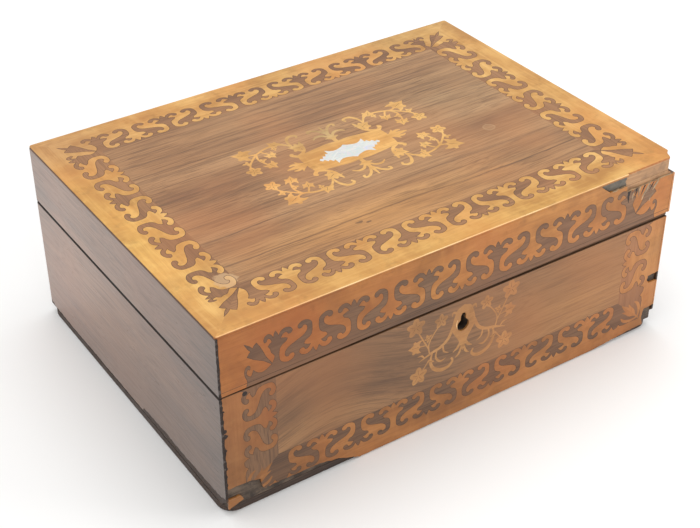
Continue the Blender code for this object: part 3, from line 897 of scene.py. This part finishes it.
def plaque_outline():
    half_length, half_width, crest, waist = 12.6, 8, 2, 5
    end_length, end_half_width, teeth, depth, steps = 7.9, 4.6, 3, 1.6, 5
    quarter = [(0, half_width)]
    for step in range(steps + 1):
        share = step / steps
        high = half_width * share + (half_width + waist) / 2 * (1 - share)
        quarter.append((crest + (half_length - crest) * share,
                        high - (high - waist) * math.sin(math.pi * share)))
    for tooth in range(teeth):
        share = tooth / teeth
        root = half_length + end_length * share
        tip = end_half_width * (1 - share)
        quarter += [(root, tip - depth / 2), (root + depth, tip)]
    quarter.append((half_length + end_length, 0))
    right = quarter + [(u, -v) for u, v in reversed(quarter[:-1])]
    whole = right + [(-u, v) for u, v in reversed(right[1:-1])]
    middle = (LENGTH_MM / 2, DEPTH_MM / 2)
    return [(u + middle[0], v + middle[1]) for u, v in reversed(whole)]


# Lid's front: millimetres from the left end and above the seam of a level lid

LID_BAND_LINES = (27.3, 5.9)
LID_FRONT_AXES = [32.8, 56, 78.8, 101.6, 125.4, 147.9, 170.8, 195.2, 219.2, 242.6, 266.2]
LID_JOINT_LINE = (2.5, 2.85)
# dark rim at each front's edge by the seam, painted shade of the gap
SEAM_SHADE_RIM = 0.24
LID_LEFT_LINES = (14.6, 32.5)
LID_RIGHT_LINES = (11.3, 30)


def lid_end(axis, outer, inner):
    """The dark leaf at one end of the lid's ground, from the last palmette's axis down to the seam."""
    high, low = LID_BAND_LINES
    reach = outer - inner
    shares = corner_half((axis - inner) / reach, 0.95) + [(0.98, 0.98)] + lid_end_hook()
    return [(inner + p * reach, LID_FOOT / MM + low + q * (high - low)) for p, q in shares]


def lid_front_ground():
    """The dark ground along the foot of the lid's front, with a leaf at each end."""
    high, low = LID_BAND_LINES
    seam = LID_FOOT / MM
    left_out, left_in = LID_LEFT_LINES
    right_out, right_in = (LENGTH_MM - line for line in LID_RIGHT_LINES)
    points = [(s, seam + high - t) for s, t in reversed(band_run(LID_FRONT_AXES, high - low))]
    points += lid_end(LID_FRONT_AXES[0], left_out, left_in)
    points += [(left_out + 0.6, seam - 4), (right_out - 0.6, seam - 4)]
    return points + lid_end(LID_FRONT_AXES[-1], right_out, right_in)[::-1]


def lid_end_hook():
    """From the corner leaf's tip back to its foot, round a light leaf and a small dark hook, to the seam."""
    return joined([
        [(0.98, 0.98), (0.87, 0.8), (0.78, 0.71)],
        [(0.78, 0.71), (0.84, 0.66), (0.9, 0.58)],
        [(0.9, 0.58), (0.72, 0.46), (0.57, 0.38), (0.4, 0.3), (0.26, 0.2), (0.14, 0.11)],
        [(0.14, 0.11), (0.3, 0.03), (0.46, 0), (0.6, 0.05), (0.72, 0.16)],
        [(0.72, 0.16), (0.76, 0.06), (0.8, 0)],
        [(0.8, 0), (0.9, 0.06), (0.92, 0.16), (0.88, 0.22), (0.82, 0.18)],
        [(0.82, 0.18), (0.8, 0.28), (0.88, 0.34), (0.98, 0.26), (1, 0.1), (0.94, -0.06), (0.92, -0.16)],
    ]) + [(0.97, -0.3)]


# Base's front: millimetres from the left end and above the underside

BASE_LENGTH_MM = 298.8
BASE_LEFT_LINES = (12, 32)
BASE_RIGHT_LINES = (11.2, 31.3)
BASE_BAND_LINES = (9.2, 28)
BASE_FRONT_AXES = [36, 58.6, 81.6, 104.6, 127.2, 149.9, 172.6, 195.8, 219.6, 243.6, 266.6]
BASE_SIDE_AXES = [32, 56, 79]


def base_front_ground():
    """The dark ground of the base's front: its field, with scrolls at both ends and along the foot."""
    left_out, left_in = BASE_LEFT_LINES
    right_out, right_in = BASE_LENGTH_MM - BASE_RIGHT_LINES[0], BASE_LENGTH_MM - BASE_RIGHT_LINES[1]
    low, high = BASE_BAND_LINES
    width = high - low
    past = 84
    points = [(s, low + t) for s, t in band_run(BASE_FRONT_AXES, width)]
    points += base_corner((right_in, high), 1, right_out - right_in, width)
    points += [(right_out - t, s) for s, t in band_run(BASE_SIDE_AXES, right_out - right_in)]
    points += [(right_out, past), (left_out, past)]
    points += [(left_out + t, s) for s, t in reversed(band_run(BASE_SIDE_AXES, left_in - left_out))]
    points += list(reversed(base_corner((left_in, high), -1, left_in - left_out, width)))
    return points


def base_corner(start, way, width_along, width_out):
    """The outer line round a lower corner, whose light leaf lies on it as a shape of its own."""
    shares = [(0.08, 1), (0.14, 0.9), (0.2, 0.97), (0.34, 1), (0.62, 0.99), (0.86, 1), (0.99, 0.99),
              (1, 0.86), (0.99, 0.62), (1, 0.3), (0.97, 0.14), (0.9, 0.06), (1, -0.06)]
    return [(start[0] + way * p * width_along, start[1] - q * width_out) for p, q in shares]


def base_corner_leaves():
    """The light leaf in each lower corner of the base's front, with a curl on each side."""
    shares = [
        stroke([(0.97, 0.97), (0.8, 0.8), (0.6, 0.6), (0.4, 0.4), (0.2, 0.2)],
               [0.05, 0.06, 0.2, 0.16, 0.02]),
        stroke([(0.78, 0.78), (0.7, 0.58), (0.56, 0.4), (0.48, 0.24)], [0.03, 0.1, 0.09, 0.02]),
        stroke([(0.78, 0.78), (0.58, 0.7), (0.4, 0.56), (0.24, 0.48)], [0.03, 0.1, 0.09, 0.02]),
        stroke([(0.9, 0.9), (0.6, 0.93), (0.34, 0.84), (0.22, 0.7)], [0.05, 0.1, 0.1, 0.04]),
        stroke([(0.9, 0.9), (0.93, 0.6), (0.84, 0.34), (0.7, 0.22)], [0.05, 0.1, 0.1, 0.04]),
    ]
    low, high = BASE_BAND_LINES
    shapes = []
    for start, way, (outer, inner) in (
        (BASE_LEFT_LINES[1], -1, BASE_LEFT_LINES),
        (BASE_LENGTH_MM - BASE_RIGHT_LINES[1], 1, BASE_RIGHT_LINES),
    ):
        shapes += [[(start + way * p * (inner - outer), high - q * (high - low)) for p, q in shape]
                   for shape in shares]
    return shapes


# Foliage round the keyhole: its right half, from the middle of the front and the underside

KEYHOLE_MIDDLE = 150.4
LEFT_AND_RIGHT = ((1, 1), (-1, 1))
KEYHOLE_STEMS = [
    ([(4.4, 69), (7.4, 62.6), (10.2, 56.6), (15, 53), (21.4, 51.4), (29.6, 48.6)],
     [1.8, 2, 2.2, 2.1, 1.8, 0.5]),
    ([(4.8, 71.2), (7.4, 72.6), (8.2, 70.2)], [1.4, 1.5, 0.4]),
    ([(20.8, 51), (21.8, 45.6), (19.6, 40.2), (14.6, 36.9), (9.6, 37), (6.6, 39.8), (7.6, 42.4)],
     [1.2, 1.8, 2.4, 2.7, 2.3, 1.7, 1.3]),
    ([(17.6, 52), (18.2, 47), (15, 43.2), (11.4, 44)], [1.1, 1.4, 1.5, 0.5]),
    ([(13.6, 53.2), (12.8, 49), (9.6, 46.8)], [1, 1.3, 0.4]),
    ([(1, 51.6), (3.4, 47.6), (6.6, 45.4)], [1.8, 1.9, 0.4]),
    ([(0.6, 47.6), (2.4, 43), (4.8, 41.2)], [1.4, 1.6, 0.4]),
    ([(22.4, 51), (23.4, 57.4), (20.6, 63.2), (16.6, 68)], [1.1, 1, 0.9, 0.9]),
    ([(23.2, 55), (26.4, 61), (29.2, 66.4), (31.2, 70.4)], [1, 1, 0.9, 0.9]),
    ([(25, 58.2), (28.4, 58.8), (31, 59)], [0.8, 0.8, 0.9]),
    ([(22.8, 47.4), (25.2, 44), (27.4, 41.6)], [0.9, 0.9, 0.9]),
    ([(26, 50), (27.8, 52.2), (30.6, 52.6)], [0.9, 1.3, 0.4]),
]
KEYHOLE_LEAVES = [
    (IVY_LEAF, (29, 59), 6, 8.2),
    (LILY_LEAF, (26, 62), 158, 5.4),
    (LILY_LEAF, (22, 61), 16, 4.6),
    (LILY_LEAF, (23.4, 46.2), 196, 4.6),
]
KEYHOLE_FLOWERS = [((15.4, 70.6), 4.6), ((32.2, 73), 6.2), ((29.6, 39.2), 6)]
SHIELD_HALF = [
    (0, 75.6), (2, 74.6), (4.6, 73.4), (6.2, 70), (7.6, 65), (7.8, 60.6), (5.6, 56.2), (3.2, 52.4),
    (0, 44),
]


def keyhole_foliage():
    """The light shapes round the keyhole and the engraved lines in them."""
    shapes, ribs = foliage(KEYHOLE_STEMS, KEYHOLE_LEAVES, KEYHOLE_FLOWERS, LEFT_AND_RIGHT,
                           (KEYHOLE_MIDDLE, 0), -0.1)
    half = smooth(SHIELD_HALF) + [SHIELD_HALF[-1]]
    shapes += moved([half + [(-u, v) for u, v in reversed(half[1:-1])]], (KEYHOLE_MIDDLE, 0))
    return shapes, ribs


def keyhole_outline():
    """The keyhole as the CAD cuts it, in millimetres of the base's front."""
    radius, half_slot, drop, rise, segments = 4, 1.8, 17.1, 8, 20
    middle = BASE_HEIGHT / MM - drop
    start = math.asin(half_slot / radius)
    sweep = 2 * math.pi - 2 * start
    points = []
    for step in range(segments + 1):
        angle = math.pi / 2 - start - sweep * step / segments
        points.append((radius * math.cos(angle), middle + radius * math.sin(angle)))
    top = middle + rise
    points += [(-half_slot, top - half_slot), (-half_slot / 2, top), (half_slot / 2, top),
               (half_slot, top - half_slot)]
    return [(u + LENGTH_MM / 2, v) for u, v in reversed(points)]


# Veneer lost at the corners, as the CAD cuts it

def base_losses():
    lower_left = [
        (-2, -2), (84, -2), (84, 0), (70.5, 5.7), (57, 8.5), (22.1, 9.2), (20.5, 16.7),
        (12.3, 18.4), (-2, 19),
    ]
    right = BASE_LENGTH_MM
    lower_right = [(right - 52, -2), (right + 2, -2), (right + 2, 4.2), (right - 23.4, 2.7),
                   (right - 52, 0)]
    chips = []
    for low, high in ((2, 15.6), (33.5, 39.8)):
        chips.append([
            (right + 2, low), (right + 2, high), (right - 8.55, high - (high - low) * 0.05),
            (right - 9.5, (low + high) / 2), (right - 7.6, low + (high - low) * 0.08),
        ])
    return [ragged(lower_left, 0.28, 11, 1.4), ragged(lower_right, 0.22, 12, 1.4)] + [
        ragged(chip, 0.25, 13 + index, 1.2) for index, chip in enumerate(chips)
    ]


def lid_front_loss():
    top = LID_TOP / MM + 2
    foot = TOP_VENEER_FOOT / MM
    shape = [
        (243, top), (243, foot - 0.3), (250, foot - 6.4), (263, foot - 6.4), (263, foot - 10.5),
        (302, foot - 9.9), (302, top),
    ]
    return ragged(list(reversed(shape)), 0.2, 21, 1.5)


def top_corner_loss():
    """The broken corner of the top, as the CAD cuts it."""
    right = LENGTH_MM
    return [(right - 4.6, -2), (right + 2, -2), (right + 2, 7.8), (right, 7.8), (right - 2.5, 5.5),
            (right - 4.6, 1.2)]


# Scars on the lid's front, under the ledge of the missing piece: pale splinters and dark splits

PALE_SCARS = [
    stroke([(273.4, 105.4), (272.6, 102), (272.9, 98.6)], [1.3, 0.9, 0.3]),
    stroke([(280.6, 105.4), (278.6, 101.8), (276.4, 98.4), (275.6, 95.8)], [1.2, 1.7, 1.2, 0.3]),
    stroke([(287.4, 105.3), (285.4, 102.4), (283.4, 99.6)], [1, 1.5, 0.4]),
    stroke([(284.4, 98.2), (282.6, 95.6), (281.8, 92.8)], [0.4, 1, 0.3]),
    stroke([(268.6, 103.2), (268, 100.6), (268.3, 98.2)], [0.4, 0.8, 0.3]),
    [(252.6, 111.4), (256.4, 110.6), (255, 108.6), (252, 109)],
]
DARK_SCARS = [
    stroke([(265, 105.4), (264.7, 101.6), (265.2, 97.4)], [2.2, 1.5, 0.3]),
    stroke([(270.6, 105.4), (270.4, 102.2), (269.8, 99.2)], [1.4, 1, 0.3]),
    stroke([(277, 105.4), (275.4, 102), (274.4, 99.4)], [1.2, 1, 0.3]),
    stroke([(283.8, 105.4), (282.2, 102.6), (280.6, 100.4)], [0.9, 0.9, 0.3]),
]


# Dark blots at the left end of the base's front
LEFT_BLOTS = [((1.9, 57.6), 1.3), ((2, 54.2), 1.6), ((1.6, 45), 1.1), ((1.5, 33), 0.9), ((1.5, 70.2), 0.9)]

# Light rim at the keyhole's left and the light arris along the top's front: rubbed wood with a painted
# highlight
KEYHOLE_RIM = stroke([(146.2, 66.4), (145.5, 63.6), (146.2, 60.4)], [0.2, 0.55, 0.2])
ARRIS_WORN_AND_HIGHLIT = 0.6


def on_top(u, v, depth):
    x = u + LEFT
    return Vector((x, v + FRONT, LID_TOP + lift(x) - depth))


def on_lid_front(u, v, depth):
    x = u + LEFT
    return Vector((x, FRONT + depth, v + lift(x)))


def on_base_front(u, v, depth):
    return Vector((u + LEFT, FRONT + depth, v))


def on_left(u, v, depth):
    return Vector((LEFT + depth, BACK - u, v))


# Woods: light, middle and dark tones, and the veins of the rosewood. The fronts', foot bands' and sides'
# copies are darker than the top's: partly the woods' own tone, partly painted shade of faces that get less
# light.

ROSE_TOP = (190, 145, 100), (168, 123, 81), (142, 101, 67), (98, 70, 48)
ROSE_FRONT = (158, 116, 77), (138, 99, 66), (113, 81, 55), (76, 56, 42)
ROSE_SIDE = (136, 94, 64), (118, 80, 54), (98, 66, 45), (66, 46, 36)
ROSE_BAND = (170, 122, 79), (150, 105, 67), (128, 88, 56), (98, 68, 46)
ROSE_FOOT = (134, 97, 66), (114, 81, 55), (92, 65, 46), (60, 44, 34)
SATIN_TOP = (228, 180, 106), (208, 155, 82), (180, 126, 62)
# pale rubbed satinwood with a painted highlight
SATIN_WORN_AND_HIGHLIT = (252, 218, 160), (242, 198, 136), (222, 168, 104)
SATIN_FRONT = (198, 135, 68), (181, 118, 53), (152, 95, 40)
SATIN_BASE = (186, 126, 68), (167, 108, 54), (140, 88, 42)
INLAY = (236, 188, 112), (220, 168, 94), (190, 138, 72)
INLAY_FRONT = (192, 140, 84), (176, 124, 70), (146, 100, 56)
FIELD_ARCH = (-0.083, 0.05, 0.022)
RIGHT_CHIPS = ((0.002, 0.0156), (0.0335, 0.0398))


def build_woods():
    band = dict(marks=[PATCH_TOP], contrast=0.6)
    foot = dict(axes="xz", contrast=0.7)
    border = dict(marks=[PATCH_TOP], washes=TONE_AND_SHEEN_BORDER)
    base = dict(axes="xz", washes=LIGHT_AND_SHADE_PAINTED_BASE_FRONT)
    woods = {
        "rose_panel": (rosewood, "X", 1.3, ROSE_TOP, MARKS_TOP, VEINS_TOP,
                       dict(contrast=0.85, washes=TONE_AND_SHEEN_TOP)),
        "rose_band_x": (rosewood, "X", 5.1, ROSE_BAND, band),
        "rose_band_y": (rosewood, "Y", 8.2, ROSE_BAND, band),
        "rose_lid": (rosewood, "X", 5.9, ROSE_FOOT, foot),
        "rose_base_x": (rosewood, "X", 6.9, ROSE_FOOT, foot),
        "rose_base_z": (rosewood, "Z", 4.4, ROSE_FOOT, dict(washes=LIGHT_PAINTED_UPRIGHT, **foot)),
        "rose_front": (rosewood, "X", 2.9, ROSE_FRONT,
                       dict(axes="xz", arch=FIELD_ARCH, contrast=0.68, washes=LIGHT_AND_SHADE_PAINTED_FIELD)),
        "rose_left": (rosewood, "Y", 6.6, ROSE_SIDE,
                      dict(axes="yz", gloss=0.3, coat=0.75, contrast=0.7, washes=SHEEN_PAINTED_LEFT,
                           side_edge=(58, 40, 30))),
        "rose_right": (rosewood, "Y", 7.4, ROSE_SIDE,
                       dict(gloss=0.32, coat=0.45, contrast=0.8, side_edge=(196, 132, 74),
                            chips=RIGHT_CHIPS)),
        "rose_back": (rosewood, "X", 9.7, ROSE_SIDE, dict(gloss=0.32, coat=0.35)),
        "satin_x": (satinwood, "X", 3.3, SATIN_TOP, border),
        "satin_y": (satinwood, "Y", 7.7, SATIN_TOP, border),
        "satin_worn": (satinwood, "X", 3.9, SATIN_WORN_AND_HIGHLIT, {}),
        "satin_lid": (satinwood, "X", 1.9, SATIN_FRONT, dict(axes="xz", washes=SHADE_PAINTED_LID_FRONT)),
        "satin_base": (satinwood, "X", 4.9, SATIN_BASE, base),
        "satin_upright": (satinwood, "Z", 2.2, SATIN_BASE, base),
        "inlay": (satinwood, "X", 6.1, INLAY, dict(washes=WASHES_INLAY)),
        "inlay_front": (satinwood, "X", 4.1, INLAY_FRONT, {}),
        "scar": (carcass_wood, (206, 178, 140), (170, 140, 106), (120, 100, 82), 7.3, "Z", {}),
        "carcass": (carcass_wood, (150, 112, 78), (96, 70, 50), (52, 42, 36), 3.1, {}),
        "dirty_board": (carcass_wood, (116, 100, 86), (86, 74, 64), (54, 47, 43), 5.1, {}),
        "rail": (worn_rail, {}),
        "dark_edge": (stained_edge, (90, 70, 58), (42, 32, 28), 1.7, {}),
        # near black: painted shade in the side joints and the nail hole, and the dark scars, blots and end
        # strips
        "slip": (stained_edge, (56, 38, 29), (24, 16, 13), 2.7, {}),
        "seam": (stained_edge, (116, 79, 48), (70, 47, 29), 3.6, {}),
        "pearl": (mother_of_pearl, {}),
        "filler": (filler, {}),
    }
    return {name: maker(name, *given, **options) for name, (maker, *given, options) in woods.items()}


# Sheets. Their rules name a wood and the groups that a spot has to lie in, or outside after a minus; the
# first rule that fits is the one that counts. In millimetres, shapes reach PAST beyond an edge
# and up to BASE_PAST on the base's front.

PAST = 1
BASE_PAST = 84


def build_top(woods):
    outline = rounded_rectangle(0, LENGTH_MM, 0, DEPTH_MM, 1.6, 3)
    losses = [plaque_outline(), ragged(rectangle(263, 302, -2, 1.2), 0.12, 31, 1.5),
              ragged(top_corner_loss(), 0.15, 32, 1.2)]
    panel = rectangle(TOP_LEFT_LINES[1], LENGTH_MM - TOP_RIGHT_LINES[1],
                      TOP_FRONT_LINES[1], DEPTH_MM - TOP_BACK_LINES[1])
    right, back = LENGTH_MM + PAST, DEPTH_MM + PAST
    ground = top_ground()
    light, ribs = cartouche()
    groups = {
        "ground": [ground], "core": [inset(ground, SAW_CUT)], "panel": [panel],
        "sides": [[(-PAST, -PAST), panel[0], panel[3], (-PAST, back)],
                  [(right, -PAST), (right, back), panel[2], panel[1]]],
        "light": light, "ribs": ribs,
        # the front arris: rubbed wood with a painted highlight
        "worn": [ragged(rectangle(-PAST, right, -PAST, ARRIS_WORN_AND_HIGHLIT), 0.1, 33, 3)],
    }
    rules = (
        ("satin_worn", "worn"), ("filler", "light ribs"), ("inlay", "light"), ("filler", "ground -core"),
        ("rose_panel", "ground panel"), ("rose_band_y", "ground sides"), ("rose_band_x", "ground"),
        ("satin_y", "sides"), ("satin_x", ""),
    )
    marquetry_sheet("lid_top_marquetry", ("satinwood", "lid_top_veneer"), outline, losses, groups, rules,
                    on_top, woods, side_wood=lambda u, v: "satin_lid" if v < 1.5 else "filler")


def build_lid_front(woods):
    left, right = (LID_LEFT - LEFT) / MM - SHEET_GROWTH, (LID_RIGHT - LEFT) / MM + SHEET_GROWTH
    foot = LID_FOOT / MM
    ground = lid_front_ground()
    groups = {
        "ground": [ground], "core": [inset(ground, SAW_CUT)],
        # the joint line is a real joint; the rim along the seam is painted shade
        "joint": [rectangle(-PAST, LENGTH_MM + PAST, foot + low, foot + high)
                  for low, high in (LID_JOINT_LINE, (-PAST, SEAM_SHADE_RIM))],
        "pale": [ragged(scar, 0.15, 51 + index, 1.2) for index, scar in enumerate(PALE_SCARS)],
        "dark": [ragged(scar, 0.15, 61 + index, 1.2) for index, scar in enumerate(DARK_SCARS)],
        "end": [ragged(rectangle(-PAST, left + 0.15, foot - PAST, foot + 40), 0.22, 71, 1.6)],
    }
    rules = (
        ("seam", "joint"), ("slip", "dark"), ("filler", "end"), ("scar", "pale"),
        ("rose_lid", "ground core"), ("filler", "ground"), ("satin_lid", ""),
    )
    marquetry_sheet("lid_front_marquetry", ("satinwood", "lid_front_veneer"),
                    rectangle(left, right, foot, LID_FRONT_HIGH / MM), [lid_front_loss()], groups, rules,
                    on_lid_front, woods,
                    side_wood=lambda u, v: "scar" if v > foot + 20 and u > 255 else None)


def build_base_front(woods):
    left, right = (BASE_LEFT - LEFT) / MM - SHEET_GROWTH, (BASE_RIGHT - LEFT) / MM + SHEET_GROWTH
    low, high = BASE_BAND_LINES
    field_left, field_right = BASE_LEFT_LINES[1], BASE_LENGTH_MM - BASE_RIGHT_LINES[1]
    end = BASE_LENGTH_MM + PAST
    ground = base_front_ground()
    light, ribs = keyhole_foliage()
    groups = {
        "ground": [ground], "core": [inset(ground, SAW_CUT)],
        "field": [rectangle(field_left, field_right, high, BASE_PAST)],
        "sides": [[(-PAST, -PAST), (field_left, high), (field_left, BASE_PAST), (-PAST, BASE_PAST)],
                  [(end, -PAST), (end, BASE_PAST), (field_right, BASE_PAST), (field_right, high)]],
        # the nail hole is a dark disc, painted shade where no hole is cut
        "light": light, "ribs": ribs, "corner": base_corner_leaves(), "hole": [disc((14.2, 76.4), 1.5)],
        "worn": [KEYHOLE_RIM],
        # painted shade: a dark rim along the seam
        "joint": [rectangle(-PAST, LENGTH_MM + PAST, BASE_HIGH / MM - SEAM_SHADE_RIM, BASE_PAST)],
        "end": [ragged(rectangle(-PAST, left + 0.35, -PAST, BASE_PAST), 0.32, 72, 1.5)]
        + [ragged(disc(*blot, 8), 0.3, 73 + index, 1) for index, blot in enumerate(LEFT_BLOTS)],
    }
    rules = (
        ("slip", "hole"), ("slip", "end"), ("seam", "joint"), ("satin_worn", "worn"),
        ("filler", "light ribs"), ("inlay_front", "light"), ("satin_upright", "corner sides"),
        ("satin_base", "corner"), ("satin_upright", "-ground sides"), ("satin_base", "-ground"),
        ("filler", "-core"), ("rose_front", "field"), ("rose_base_z", "sides"), ("rose_base_x", ""),
    )
    marquetry_sheet("base_front_marquetry", ("satinwood", "base_front_veneer"),
                    rectangle(left, right, BASE_LOW / MM, BASE_HIGH / MM),
                    base_losses() + [keyhole_outline()], groups, rules, on_base_front, woods)

    scrap = ragged([(1.5, 4.5), (10.5, 7.85), (8.4, 11.2), (1.5, 11.2)], 0.25, 41, 1.3)
    marquetry_sheet("base_front_scrap", ("satinwood", "base_front_veneer_remnant"), scrap, [], {},
                    [("satin_base", "")], on_base_front, woods, arris=0.2)


def add_object(name, data):
    item = bpy.data.objects.new(name, data)
    bpy.context.scene.collection.objects.link(item)
    return item


def finish_piece(name, mesh, slot, *replaced):
    item = add_object(name, mesh)
    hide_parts(*replaced)
    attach(item, "root")


def build_side(name, node, wood, woods):
    """A side's veneer on the CAD's own planes, with rubbed arrises, and painted shade on the faces along the
    lid's joint.
    """
    mesh = nodes[node].data.copy()
    mesh.name = name
    mesh.materials.clear()
    for finish in (wood, "slip"):
        mesh.materials.append(woods[finish])
    work = bmesh.new()
    work.from_mesh(mesh)
    bmesh.ops.remove_doubles(work, verts=work.verts, dist=1e-6)
    bmesh.ops.dissolve_limit(work, angle_limit=math.radians(1), verts=work.verts, edges=work.edges)
    if node == "base_right_veneer":
        foot = [edge for edge in work.edges if all(
            vert.co.y < FRONT + 1e-5 and vert.co.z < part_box(node)[0][2] + 1e-5 for vert in edge.verts)]
        bmesh.ops.bevel(work, geom=foot, offset=RIGHT_FOOT_WEAR, segments=1, affect="EDGES")
    sharp = [edge for edge in work.edges if edge.is_manifold and edge.calc_face_angle(0) > math.radians(40)]
    bmesh.ops.bevel(work, geom=sharp, offset=SIDE_ARRIS, segments=2, profile=0.5, affect="EDGES",
                    clamp_overlap=True)
    bmesh.ops.triangulate(work, faces=work.faces)
    in_base = node.startswith("base")
    for face in work.faces:
        middle = face.calc_center_median()
        joint = BASE_HEIGHT - SIDE_ARRIS if in_base else LID_FOOT + lift(middle.x) + SIDE_ARRIS
        # painted shade: faces along the joint take the near-black wood
        face.material_index = int(middle.z > joint if in_base else middle.z < joint)
        face.smooth = False
    work.to_mesh(mesh)
    work.free()
    finish_piece(name, mesh, "rosewood", node)


# Left side, from the back and above the underside: a dark band on the front corner, painted shade along the
# joint, and the foot's chipped strip
FRONT_CORNER_DARK = 0.2
JOINT_SHADE = 0.95
FOOT_CHIP = [(213.5, 3.8), (213.5, 4.8), (219.5, 10.8), (221, 12.3), (222, 3.8)]
WORN_FOOT = [
    (-2, 2), (222, 2), (222, 13.4), (214, 10.4), (200, 9.4), (176, 8.8), (150, 9.2),
    (126, 8.2), (124.5, 5.8), (80, 5.5), (30, 5.3), (6, 5.8), (-2, 9),
]


def build_left(name, node, losses, low_edge, high_edge, worn_foot, woods):
    """A left side's veneer, measured in millimetres from the back and above the underside."""
    low, high = (corner[2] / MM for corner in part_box(node))
    end = DEPTH_MM + PAST
    groups = {
        "dark": [rectangle(-PAST, end, low - PAST, low + low_edge),
                 rectangle(-PAST, end, high - high_edge, high + PAST),
                 ragged(rectangle(DEPTH_MM - FRONT_CORNER_DARK, end + PAST, low - PAST, high + PAST),
                        0.35, 81, 1.6)],
        "foot": [ragged(shape, 0.4, 82, 2) for shape in worn_foot],
    }
    # near-black wood: painted shade along the joint, and a darker band on the front corner
    rules = (("dark_edge", "foot"), ("slip", "dark"), ("rose_left", ""))
    marquetry_sheet(name, ("rosewood", node), rectangle(0, DEPTH_MM, low, high), losses, groups, rules,
                    on_left, woods, arris=SIDE_ARRIS / MM)


def build_sides(woods):
    build_left("base_left_sheet", "base_left_veneer", [FOOT_CHIP], 0, JOINT_SHADE, [WORN_FOOT], woods)
    build_left("lid_left_sheet", "lid_left_veneer", [], JOINT_SHADE, 0, [], woods)
    for side, wood in (("right", "rose_right"), ("back", "rose_back")):
        for box in ("base", "lid"):
            build_side(f"{box}_{side}_sheet", f"{box}_{side}_veneer", wood, woods)


def dress_nodes(woods):
    """Gives the CAD nodes that stay in sight their procedural finishes."""
    finishes = {
        "lid_front_slip": "seam", "base_bottom_board": "dark_edge", "pearl_plaque": "pearl",
        "base_front_board": "dirty_board", "lid_front_rail": "rail", "lid_top_board": "rail",
    }
    for name, item in nodes.items():
        for slot in item.material_slots:
            slot.material = woods[finishes.get(name, "carcass")]


def build_floor():
    mesh = bpy.data.meshes.new("floor")
    reach = 4.0
    mesh.from_pydata([(-reach, -reach, 0), (reach, -reach, 0), (reach, reach, 0), (-reach, reach, 0)], [],
                     [(0, 1, 2, 3)])
    floor = add_object("floor", mesh)
    shader = Shader("floor")
    shader.finish(linear(250, 250, 249), 0.8, specular=0.2)
    mesh.materials.append(shader.material)
    floor.location.z = -0.0003


def add_area_light(name, place, aim, size, power):
    data = bpy.data.lights.new(name, "AREA")
    data.shape = "RECTANGLE"
    data.size, data.size_y = size
    data.energy = power
    light = add_object(name, data)
    light.location = place
    light.rotation_euler = (Vector(aim) - Vector(place)).to_track_quat("-Z", "Y").to_euler()


def build_lights():
    world = bpy.data.worlds.new("studio")
    bpy.context.scene.world = world
    world.use_nodes = True
    inputs = world.node_tree.nodes["Background"].inputs
    inputs["Color"].default_value = (1.0, 1.0, 1.0, 1.0)
    inputs["Strength"].default_value = 0.74
    add_area_light("overhead", (-0.10, 0.30, 2.40), (0.0, 0.0, 0.0), (2.6, 2.2), 30.0)
    add_area_light("front_right", (0.62, -0.62, 0.36), (0.14, -0.11, 0.06), (0.4, 0.4), 1.9)
    scene = bpy.context.scene
    scene.view_settings.view_transform = "Standard"
    scene.view_settings.look = "None"


def main():
    build_camera()
    build_floor()
    build_lights()
    woods = build_woods()
    dress_nodes(woods)
    build_top(woods)
    build_lid_front(woods)
    build_base_front(woods)
    build_sides(woods)


main()
